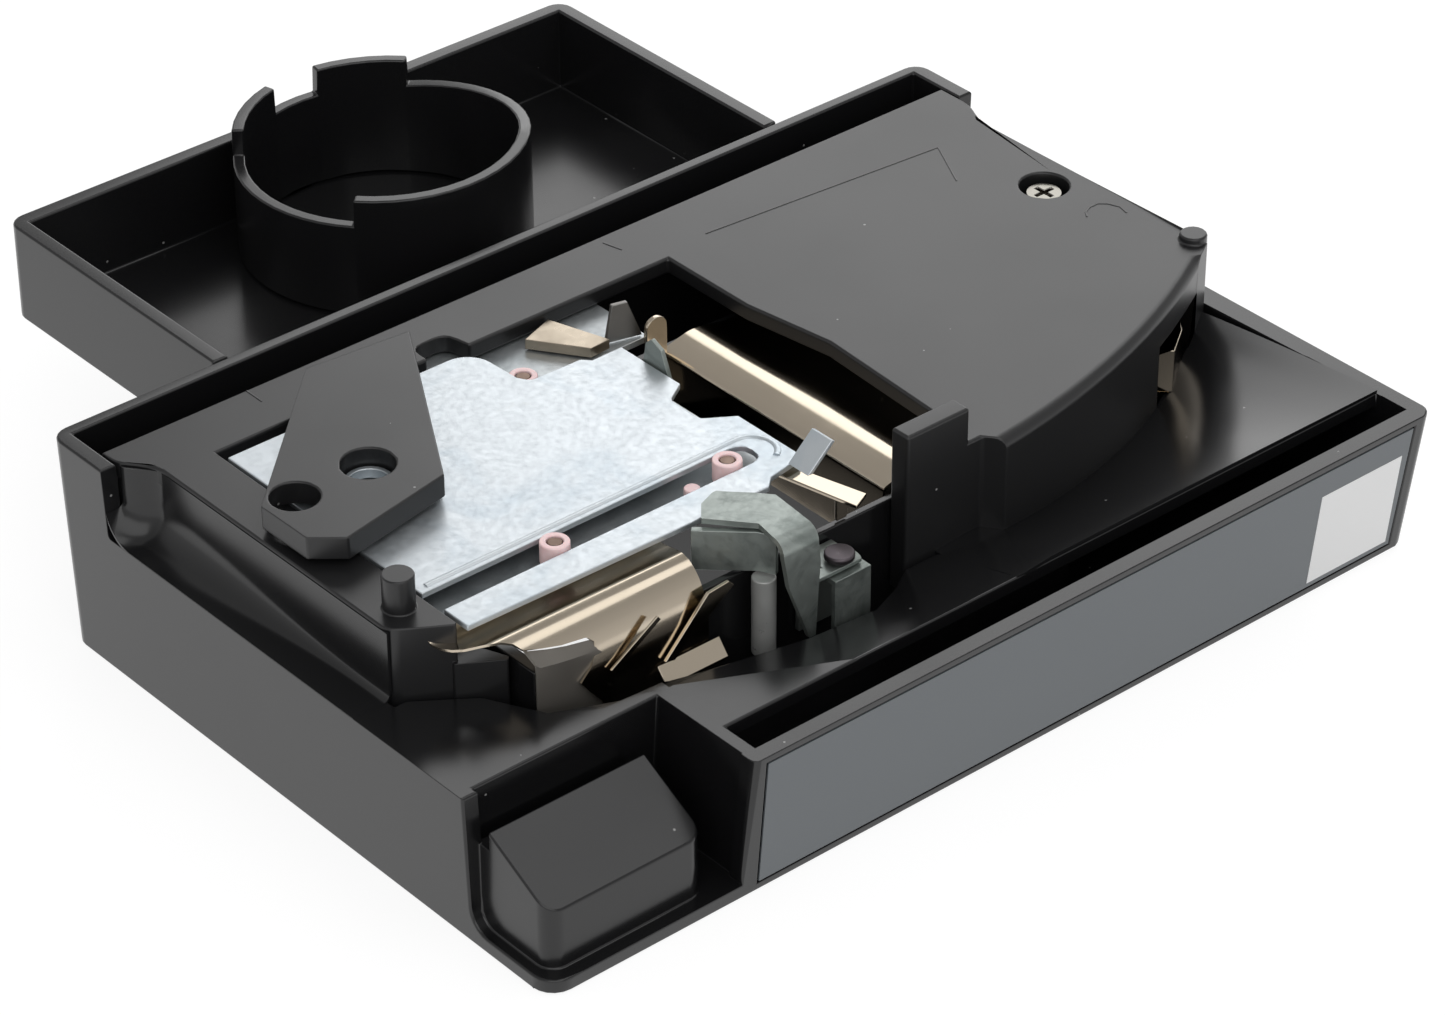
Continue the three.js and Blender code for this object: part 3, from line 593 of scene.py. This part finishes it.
# %% Large radii of the mouldings
ARC_CENTRE = (96.0, 177.3)  # the middle of the deck's round side


def on_arc(radius, height, reach=0.4):
    """Picks the edges that follow the deck's round side at one height, short of its posts."""
    middle = Vector(ARC_CENTRE)

    def wanted(a, b):
        return all(
            abs(p.z - height) < 0.1
            and abs((p.xy - middle).length - radius) < reach
            and 109 < p.x < 170
            for p in (a, b)
        )

    return wanted


def at_level(height, x_range, y_range):
    """Picks the edges that lie at one height inside a window."""

    def wanted(a, b):
        return all(
            abs(p.z - height) < 0.1
            and x_range[0] <= p.x <= x_range[1]
            and y_range[0] <= p.y <= y_range[1]
            for p in (a, b)
        )

    return wanted


# node: (radius in mm, which edges), with each edge given by the two corners that it joins
BIG_RADII = {
    "outer_housing": (
        (
            3.0,
            between(
                ((1.3, 123.3, 0), (0, 123.3, 38.6)),
                ((178.7, 123.3, 0), (180, 123.3, 38.6)),
            ),
        ),
        (2.4, between(((178.7, 4.6, 0), (179.6, 1.6, 26.2)))),
        (4.0, between(((1.3, 4.6, 0), (1.2, 4.3, 2.6)))),
        (
            4.6,
            between(
                ((0.4, 109.5, 26.2), (3.3, 109.5, 26.2)),
                ((176.7, 109.5, 26.2), (179.6, 109.5, 26.2)),
            ),
        ),
        (3.6, between(((1.2, 22.3, 2.6), (3.2, 22.3, 2.6)))),
        (2.8, between(((3.2, 6.8, 2.6), (3.2, 6.8, 13)), ((32.3, 6.8, 2.6), (32.3, 6.8, 13)))),
        (1.2, between(((37.3, 4.3, 2.6), (37.3, 1.6, 26.2)))),
        (2.2, at_level(0, (-1, 8), (8, 124))),
    ),
    "hub_tray": (
        (
            3.0,
            between(
                ((31.1, 181.4, 21), (31.1, 181.4, 38.6)),
                ((148.1, 181.4, 21), (148.1, 181.4, 38.6)),
            ),
        ),
        (1.6, at_level(23.4, (33, 146), (120, 180))),
    ),
    "deck_cover": ((1.9, on_arc(151.6, 38.6)),),
}

# %% Pieces with softened edges
# node: (finish, edge radius in mm)
FINISHES = {
    "outer_housing": (shell_black, 0.45),
    "hub_tray": (shell_black, 0.5),
    "hub_collar": (shell_black, 0.35),
    "deck_cover": (deck_black, 0.55),
    "label_strip": (label_sheet, 0.05),
    "cover_screw": (screw_steel, 0.2),
    "wall_clip": (nickel, 0.12),
    "chamber_frame": (shell_black, 0.3),
    "follower_rail": (spring_wire, 0.2),
    "rail_bracket_left": (shell_black, 0.3),
    "rail_bracket_middle": (shell_black, 0.3),
    "rail_bracket_right": (shell_black, 0.3),
    "takeup_follower": (shell_black, 0.3),
    "supply_follower": (shell_black, 0.3),
    "takeup_spring": (spring_wire, 0),
    "supply_spring": (spring_wire, 0),
    "chassis_plate": (chassis_zinc, 0.15),
    "roller_left": (pink_nylon, 0.25),
    "roller_right": (pink_nylon, 0.25),
    "roller_back": (pink_nylon, 0.25),
    "roller_left_rivet": (tube_rivet, 0.25),
    "roller_right_rivet": (tube_rivet, 0.25),
    "roller_back_rivet": (tube_rivet, 0.25),
    "chassis_screw_front": (dull_steel, 0.15),
    "chassis_screw_back": (dull_steel, 0.15),
    "chassis_screw_right": (dull_steel, 0.15),
    "stop_peg": (pink_nylon, 0.3),
    "shuttle_plate": (shuttle_zinc, 0.2),
    "shuttle_tab": (lever_zinc, 0.15),
    "push_finger": (shuttle_zinc, 0.15),
    "lever_eyelet": (shuttle_zinc, 0.2),
    "index_lever": (lever_black, 0.35),
    "upright_tab": (dull_steel, 0.15),
    "trip_strap": (satin_nickel, 0.12),
    "entry_strip": (nickel, 0.1),
    "exit_rib": (nickel, 0.1),
    "exit_blade_inner": (nickel, 0.1),
    "exit_blade_outer": (nickel, 0.1),
    "pivot_bracket": (lever_zinc, 0.15),
    "pivot_rivet": (dark_rivet, 0.35),
    "lever_flange": (lever_zinc, 0.12),
    "lever_rod": (rod_steel, 0.35),
}

for node, (finish, radius) in FINISHES.items():
    piece = copy_of(node, node + "_finished")
    for width, wanted in BIG_RADII.get(node, ()):
        round_edges(piece, width, wanted)
    if radius:
        soften(piece, radius)
    smooth(piece)
    stands_for(piece, node, finish)
print(len(FINISHES), "pieces softened")

# %% [markdown]
# **The scoop on the left.** A thumb lifts the loader by a scoop that runs along the deck's left
# side: a hollow as deep as a thumb at the corner post, which narrows to a fillet at the front. Its
# sections are the path of a ball that rolls along the foot of the deck's side, and at the post the
# ball's own surface rounds the corner. That hollow is what makes the small bright spot there.

# %% Left scoop
LEDGE = 26.2  # height of the ledge round the deck
POST = 109.5  # front face of the corner posts
BALL_RADIUS = [(52, 1.3), (100, 5.6)]  # y, and the ball's radius there
WALL_X = [(103.6, 7.15), (109.2, 3.5)]  # y, and the x of the deck's side there
RIM_X = 0.42  # x of the ledge's outer edge
RIM_LEAN = 0.033  # and how far that moves outwards for each mm up


def scoop_section(y):
    """One section across the scoop, from the ledge's outer edge up the deck's side."""
    ball = flow(BALL_RADIUS, y)
    wall = flow(WALL_X, y)
    into_post = max(0.0, y - (POST - ball))
    reach = math.sqrt(max(0.0001, ball * ball - into_post * into_post))
    foot = LEDGE + 0.03 + ball - reach
    rim = RIM_X - RIM_LEAN * (foot - LEDGE)
    foot += 0.02
    row = [(rim + 0.05, y, foot - 0.5), (rim + 0.03, y, foot)]
    floor_end = max(wall - reach, rim + 0.2)
    row += [(rim + (floor_end - rim) * t, y, foot) for t in (0.33, 0.66)]
    for turn in steps(0, 90, 10):
        a = math.radians(turn)
        x = wall - reach + reach * math.sin(a)
        row.append((max(x, rim + 0.25), y, foot + reach - reach * math.cos(a)))
    row.append((wall, y, 38.1))
    return row


scoop_rows = [scoop_section(y) for y in [*steps(47.8, 99, 22), *steps(100, POST - 0.1, 20)]]
scoop = surface_piece("left_scoop", scoop_rows, 0.4)
smooth(trim_piece(scoop, "housing", shell_black), 60)
print("left_scoop", len(scoop.data.polygons), "faces")

# %% [markdown]
# **The ledge in front of the round wall.** It is one smooth face, twisted like a propeller blade:
# level at its outer edge and at its right end, and dipping towards the foot of the round wall.

# %% Ledge face
ARC_RADIUS = 151.45
ARC_START, ARC_END = 109.8, 173.6  # x at which the round wall leaves the tab and meets the post
SLOT_BACK = 11.2
EDGE_DRIFT = 3.1  # the outer edge runs this much further right than the foot
PROUD = 0.06  # the sheet lies this much above the solid under it
CROWN = 1.1  # how much the ledge bulges between its foot and its edge
# x and height along the foot, from the tab to the corner post
DIP = [
    (100, 21.9),
    (109.8, 21.3),
    (118.3, 20.65),
    (126.8, 20.15),
    (135.1, 19.8),
    (143.3, 19.65),
    (151.4, 19.9),
    (159.2, 21.3),
    (167.1, 23.5),
    (174.5, 25.7),
    (182, 26.2),
]


def through(knots, value):
    """A smooth curve that passes every (position, value) knot, by Catmull and Rom."""
    i = max(j for j in range(1, len(knots) - 2) if knots[j][0] <= value or j == 1)
    a, b, c, d = (knots[j][1] for j in (i - 1, i, i + 1, i + 2))
    t = (value - knots[i][0]) / (knots[i + 1][0] - knots[i][0])
    return b + 0.5 * t * (c - a + t * (2 * a - 5 * b + 4 * c - d + t * (3 * (b - c) + d - a)))


def ledge_place(x, share):
    """A point of the ledge: share 0 lies on the round wall's foot, share 1 at the front slot."""
    along = math.sqrt(ARC_RADIUS**2 - (x - ARC_CENTRE[0]) ** 2)
    foot = Vector((x, ARC_CENTRE[1] - along, through(DIP, x)))
    outward = max(0, x - ARC_START) / (ARC_END - ARC_START)
    edge = Vector((x + EDGE_DRIFT * outward, SLOT_BACK, LEDGE))
    place = foot.lerp(edge, share)
    sunk = flow([(98, 0.6), (106, 0)], x)
    return (place.x, place.y, place.z + PROUD + CROWN * share * (1 - share) - sunk)


TAB_FRONT = 29.4
TAB_RIGHT = 107.2
ledge_xs = [*steps(98, TAB_RIGHT, 6), *steps(ARC_START, ARC_END, 44)]
behind = [ledge_place(x, 0) for x in ledge_xs]
behind = [(x, TAB_FRONT if x < TAB_RIGHT + 0.1 else y + 0.02, z) for x, y, z in behind]
ledge_rows = [behind, *([ledge_place(x, t) for x in ledge_xs] for t in steps(0, 1, 16))]
ledge_face = surface_piece("ledge_face", ledge_rows, 0.5)
smooth(trim_piece(ledge_face, "housing", shell_black), 60)
print("ledge_face", len(ledge_face.data.polygons), "faces")

# %% [markdown]
# **The exit chute.** A finger-wide sheet of bright nickel rolls over the front of the take-up
# chamber. Behind a narrow flange it dips into a shallow trough, crests, and rolls down. Because it
# is nearly a mirror, that wave is seen as bands: dark where it leans back, bright at the crest. Its
# left end was snipped to a wavy line.

# %% Exit chute
CHUTE_PROFILE = [
    # y, z, and the x at which the left end is cut
    (46.3, 36.95, 12.0),
    (45.3, 36.9, 12.0),
    (45.0, 36.2, 12.2),
    (44.3, 35.55, 12.6),
    (43.0, 35.35, 13.2),
    (41.5, 35.5, 14.0),
    (40.2, 35.75, 15.2),
    (39.0, 35.95, 17.8),
    (37.9, 35.9, 20.2),
    (36.8, 35.55, 21.6),
    (35.6, 34.75, 22.4),
    (34.9, 34.0, 25.6),
    (34.4, 33.4, 28.6),
    (34.1, 32.9, 33.0),
    (33.6, 32.0, 34.0),
    (33.0, 30.4, 33.6),
    (32.5, 28.6, 32.5),
    (32.3, 26.8, 30.4),
    (32.25, 24.6, 32.0),
    (32.25, 22.0, 34.2),
    (32.25, 18.0, 35.8),
    (32.25, 14.4, 36.2),
]
CHUTE_RIGHT = 54.8  # short of the transfer lever's flange, at rest and as it swings
chute_rows = [[(x, y, z) for x in steps(cut, CHUTE_RIGHT, 14)] for y, z, cut in CHUTE_PROFILE]
chute = surface_piece("exit_chute_sheet", chute_rows, 0.4, side=1)
smooth(chute, 50)
stands_for(chute, "exit_chute", nickel)

# %% [markdown]
# **The slide guide.** The second bright sheet leads a slide down from the supply stack. It is
# a low roll: it climbs a little from its lower edge, is level and bright along its crest, and then
# dips under the deck, where it mirrors only black. Its ear stands at the back end.

# %% Slide guide
GUIDE_PROFILE = [
    # x, z
    (92.6, 20.0),
    (92.6, 28.0),
    (92.6, 31.6),
    (92.8, 32.2),
    (93.3, 32.45),
    (94.4, 32.72),
    (96.0, 33.1),
    (97.4, 33.42),
    (98.3, 33.58),
    (99.2, 33.62),
    (100.2, 33.58),
    (101.2, 33.44),
    (102.4, 33.2),
    (104.0, 32.85),
    (106.0, 32.5),
    (109.0, 32.3),
    (112.0, 32.3),
]
guide_rows = [[(x, y, z) for y in steps(35.6, 88.2, 12)] for x, z in GUIDE_PROFILE]
guide = surface_piece("slide_guide_sheet", guide_rows, 0.5, side=1)
smooth(guide, 50)
ear_points = [(88.8, 87.0, 24.0), (93.0, 87.0, 24.0), (93.0, 87.0, 37.4)]
ear_points += [
    (90.9 + 2.1 * math.cos(math.radians(a)), 87.0, 37.8 + 1.9 * math.sin(math.radians(a)))
    for a in steps(0, 180, 13)
]
ear_points += [(88.8, 87.0, 37.4)]
ear = soften(outline_piece("slide_guide_ear", ear_points, (0, 0.8, 0)), 0.12)
smooth(ear)
for piece in (guide, ear):
    stands_for(piece, "slide_guide", nickel)

# %% [markdown]
# **The transfer lever.** One strip of sheet: the arm lies level, bends down over a radius of about
# three sheet thicknesses and runs on as a blade. Its sections are laid along that path.

# %% Transfer lever
LEVER_TOP = 40.3
LEVER_BEND = 2.6
LEVER_FRONT = 25.3  # outer face of the blade
# distance along the path from the blade's foot, and the strip's two edges there
BLADE_EDGES = [(21.0, 68.7, 69.9), (31.8, 64.6, 70.6), (34.0, 64.2, 70.8), (37.7, 63.5, 70.4)]
ARM_EDGES = [
    (27.9, 63.5, 70.4),
    (31.8, 64.2, 70.8),
    (36.0, 60.7, 71.2),
    (38.4, 58.7, 69.2),
    (41.4, 61.2, 66.2),
    (42.6, 64.4, 65.2),
]


def edge_at(table, value):
    """The strip's two edges at one place, in straight runs between the table's rows."""
    for (p, a, b), (q, c, d) in zip(table, table[1:]):
        if value <= q:
            t = (value - p) / (q - p)
            return a + (c - a) * t, b + (d - b) * t
    return table[-1][1:]


lever_rows = []
for z in [21.0, 24.6, 28.2, 31.8, 34.0, 36.0, 37.7]:
    left, right = edge_at(BLADE_EDGES, z)
    lever_rows.append([(x, LEVER_FRONT, z) for x in steps(left, right, 5)])
for turn in (15, 30, 45, 60, 75):
    a = math.radians(turn)
    y = LEVER_FRONT + LEVER_BEND * (1 - math.cos(a))
    z = LEVER_TOP - LEVER_BEND * (1 - math.sin(a))
    lever_rows.append([(x, y, z) for x in steps(63.5, 70.4, 5)])
for y in [27.9, 29.8, 31.8, 34.0, 36.0, 38.4, 39.9, 41.4, 42.6]:
    left, right = edge_at(ARM_EDGES, y)
    lever_rows.append([(x, y, LEVER_TOP) for x in steps(left, right, 5)])
lever = surface_piece("transfer_lever_strip", lever_rows, 0.95, side=-1)
smooth(lever, 40)
pivot = Vector((76.2, 27.2))
lever_ear_points = [(70.2, 25.35, 30.15), (76.2, 25.35, 30.15)]
lever_ear_points += [
    (pivot.x + 3.4 * math.cos(math.radians(a)), pivot.y + 3.4 * math.sin(math.radians(a)), 30.15)
    for a in steps(-33, 180, 18)
]
lever_ear_points += [(70.2, 29.2, 30.15)]
lever_ear = soften(outline_piece("transfer_lever_ear", lever_ear_points, (0, 0, 0.7)), 0.12)
smooth(lever_ear)
for piece in (lever, lever_ear):
    stands_for(piece, "transfer_lever", lever_zinc)

# %% [markdown]
# ** Pressed and moulded lines.** A bead is pressed into the shuttle along its slot, and the deck
# carries a few fine lines: the outline of an insert in the mould, the mark of an ejector pin, and
# witness lines. Each is a curve with a round section, turned into a mesh and half sunk. The deck's
# lines are drawn in a black darker than the deck: that darkness is painted shade, standing in for
# the shade inside the fine grooves.

# %% Lines


def line_piece(name, path, radius, body, material, squash=1.0):
    """A round bead along a path of corner measures, flattened to squash of its height."""
    bpy.ops.object.select_all(action="DESELECT")
    curve = bpy.data.curves.new(name, "CURVE")
    curve.dimensions = "3D"
    curve.bevel_depth = radius * MM
    curve.bevel_resolution = 2
    curve.use_fill_caps = True
    spline = curve.splines.new("POLY")
    spline.points.add(len(path) - 1)
    for point, place in zip(spline.points, path):
        point.co = (*at(*place), 1)
    piece = bpy.data.objects.new(name, curve)
    bpy.context.scene.collection.objects.link(piece)
    only(piece)
    bpy.ops.object.convert(target="MESH")
    piece = bpy.context.active_object
    if squash != 1.0:
        level = at(0, 0, path[0][2]).z
        for vertex in piece.data.vertices:
            vertex.co.z = level + (vertex.co.z - level) * squash
    smooth(piece, 60)
    return trim_piece(piece, body, material)


SHEET_TOP = 38.6  # the shuttle's upper face, level with the deck
slot_end = [
    (78.2 + 3.9 * math.cos(math.radians(a)), 49.4 + 3.9 * math.sin(math.radians(a)), SHEET_TOP)
    for a in steps(90, -60, 12)
]
line_piece(
    "shuttle_bead",
    [(18.5, 53.3, SHEET_TOP), (48, 53.3, SHEET_TOP), *slot_end],
    0.55,
    "shuttle",
    shuttle_zinc,
    squash=0.45,
)
DECK_TOP = 38.62
FINE_LINES = {
    "insert_line": [(114.8, 103.1), (162.5, 99.1), (157.3, 88.9)],
    "ejector_mark": [
        (165.4, 66.3),
        (166.2, 67.5),
        (167.8, 68.2),
        (169.7, 68.2),
        (170.9, 67.1),
        (171.7, 65.1),
        (171.2, 63.0),
    ],
    "witness_line_left": [(30.1, 113.4), (30.1, 109.4)],
    "witness_line_back": [(100.3, 111.8), (101.2, 108.1)],
}
# Drawn in the darker black, which is painted shade for the shade inside the grooves.
for name, path in FINE_LINES.items():
    line_piece(
        name, [(x, y, DECK_TOP) for x, y in path], 0.16, "housing", groove_shade_black, 0.4
    )
print(len(FINE_LINES), "fine lines")

# %% [markdown]
# **Small flat pieces.** Behind the wavy end of the chute a dull grey sheet closes the chamber. At
# the right end of the label lies a square patch, plain here.

# %% Chamber sheet and label patch
# the grey sheet's upper edge, which follows the chute's wavy end
SHEET_EDGE = [
    (22.6, 36.8, 35.0),
    (23.2, 35.6, 34.2),
    (26.4, 34.9, 33.45),
    (29.4, 34.4, 32.9),
    (33.6, 34.0, 32.3),
    (35.2, 33.5, 31.3),
    (36.6, 33.1, 29.4),
]
SHEET_FOOT = [(x, 32.9, 18.0) for x in steps(22.7, 37, len(SHEET_EDGE))]
sheet_rows = []
for t in (0, 0.03, 0.06, 0.1, 0.2, 0.45, 0.7, 1):
    row = []
    for edge, foot in zip(SHEET_EDGE, SHEET_FOOT):
        x, y, z = Vector(edge).lerp(Vector(foot), t)
        row.append((x, edge[1] + (foot[1] - edge[1]) * min(1, t / 0.1), z))
    sheet_rows.append(row)
chamber_sheet = surface_piece("chamber_end_sheet", sheet_rows, 0.2, side=1)
smooth(trim_piece(chamber_sheet, "housing", grey_sheet))

label_low, label_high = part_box("label_strip")


def on_label(x, z, proud=0.0):
    """A point on the leaning face of the label, z above the table."""
    share = (z * MM - label_low.z) / (label_high.z - label_low.z)
    front = (label_low.y - ORIGIN.y) / MM
    depth = (label_high.y - label_low.y) / MM - 0.35
    return (x, front + depth * (1 - share) - proud, z)


PATCH_LEFT, PATCH_RIGHT = 155.4, 173.6
PATCH_LOW, PATCH_HIGH = 2.6, 20.0
patch_corners = [
    (PATCH_LEFT, PATCH_LOW),
    (PATCH_RIGHT, PATCH_LOW),
    (PATCH_RIGHT, PATCH_HIGH),
    (PATCH_LEFT, PATCH_HIGH),
]
patch = outline_piece(
    "label_patch", [on_label(x, z, 0.04) for x, z in patch_corners], (0, 0.1, 0)
)
smooth(trim_piece(patch, "housing", patch_sheet))

# %% [markdown]
# ## Floor, light and camera
#
# The loader lies on a white table. Most of that white is a glow that only camera, glossy and
# transmitted rays see, so it adds no light to the object, and metal still mirrors a white table.
# The rest is a diffuse share that the lamps light: where the loader blocks them, its soft shadow
# shows. A big soft box behind on the right lifts the black plastic: its reflection is the pale
# sheen on every level face.

# %% How bright the studio is
TABLE_WHITE = 1.09  # the glow and the diffuse share together, a little past white
SHADOW_SHARE = 0.24  # the share of the table's white that a shadow can take away
ROOM_LOW = 0.68  # brightness of the room near the table
ROOM_HIGH = 0.42  # and high above it, where a studio's ceiling is dark

# %% Floor
bpy.ops.object.select_all(action="DESELECT")
bpy.ops.mesh.primitive_plane_add(size=8, location=(0, 0, low.z - 0.05 * MM))
floor = bpy.context.active_object
floor.name = "table_top"
settle(floor)
paper, paper_surface = new_finish("white_paper_table", Base_Color=linear("#dcdcdc"), Roughness=0.9)
paper_surface.inputs["Specular IOR Level"].default_value = 0.0
rays = add_node(paper, "ShaderNodeLightPath").outputs
either = add_node(
    paper,
    "ShaderNodeMath",
    {0: rays["Is Camera Ray"], 1: rays["Is Glossy Ray"]},
    operation="MAXIMUM",
)
seen = add_node(
    paper,
    "ShaderNodeMath",
    {0: either.outputs[0], 1: rays["Is Transmission Ray"]},
    operation="MAXIMUM",
).outputs[0]
shaded = add_node(paper, "ShaderNodeBsdfDiffuse", {"Color": grey(SHADOW_SHARE)})
glow = add_node(
    paper, "ShaderNodeEmission", {"Color": grey(1), "Strength": TABLE_WHITE - SHADOW_SHARE}
)
white = add_node(paper, "ShaderNodeAddShader", {0: shaded.outputs[0], 1: glow.outputs[0]})
table = add_node(
    paper, "ShaderNodeMixShader", {0: seen, 1: paper_surface.outputs[0], 2: white.outputs[0]}
)
link(paper, table.outputs[0], paper.node_tree.nodes["Material Output"].inputs["Surface"])
floor.data.materials.append(paper)

# %% World
world = bpy.data.worlds.new("studio")
bpy.context.scene.world = world
world.use_nodes = True
background = world.node_tree.nodes["Background"]
background.inputs["Color"].default_value = (1, 1, 1, 1)
towards = add_node(world, "ShaderNodeTexCoord")
height = add_node(world, "ShaderNodeSeparateXYZ", {"Vector": towards.outputs["Generated"]})
room = add_node(
    world,
    "ShaderNodeMapRange",
    {"Value": height.outputs["Z"], "From Max": 0.8, "To Min": ROOM_LOW, "To Max": ROOM_HIGH},
)
camera_sees = add_node(world, "ShaderNodeLightPath")
strength = add_node(
    world,
    "ShaderNodeMix",
    {0: camera_sees.outputs["Is Camera Ray"], 2: room.outputs["Result"], 3: 1.0},
)
link(world, strength.outputs[0], background.inputs["Strength"])

# %% Lamps


def soft_box(name, towards, distance, size, radiance):
    """A square-on soft box; its power follows from the brightness that its face should have."""
    direction = Vector(towards).normalized()
    place = direction * distance
    bpy.ops.object.light_add(type="AREA", location=place)
    lamp = bpy.context.active_object
    lamp.name = lamp.data.name = name
    lamp.data.shape = "RECTANGLE"
    lamp.data.size, lamp.data.size_y = size
    lamp.data.energy = radiance * math.pi * size[0] * size[1]
    lamp.rotation_euler = (-direction).to_track_quat("-Z", "Y").to_euler()
    return lamp


soft_box("back_right_box", (0.75, 0.55, 0.51), 1.3, (0.95, 0.9), 1.7)
soft_box("front_left_box", (-0.55, -0.75, 0.75), 1.6, (1.6, 1.2), 1.1)
soft_box("overhead_box", (0.25, -0.30, 0.95), 1.5, (1.0, 0.8), 1.2)

# %% Camera
CAMERA_PLACE = (-333.1, -424.4, 447.4)  # from the loader's corner, in mm
CAMERA_TURN = (56.24794, 0.18391, -40.6693)  # about X, Y and Z, in degrees
FOCAL_LENGTH = 122.86  # in mm, on a sensor 36 mm wide
bpy.ops.object.camera_add(
    location=at(*CAMERA_PLACE), rotation=[math.radians(a) for a in CAMERA_TURN]
)
camera = bpy.context.active_object
camera.data.lens = FOCAL_LENGTH
camera.data.sensor_width = 36
camera.data.sensor_fit = "HORIZONTAL"
camera.data.clip_start = 0.05
bpy.context.scene.camera = camera
bpy.context.scene.view_settings.view_transform = "Standard"
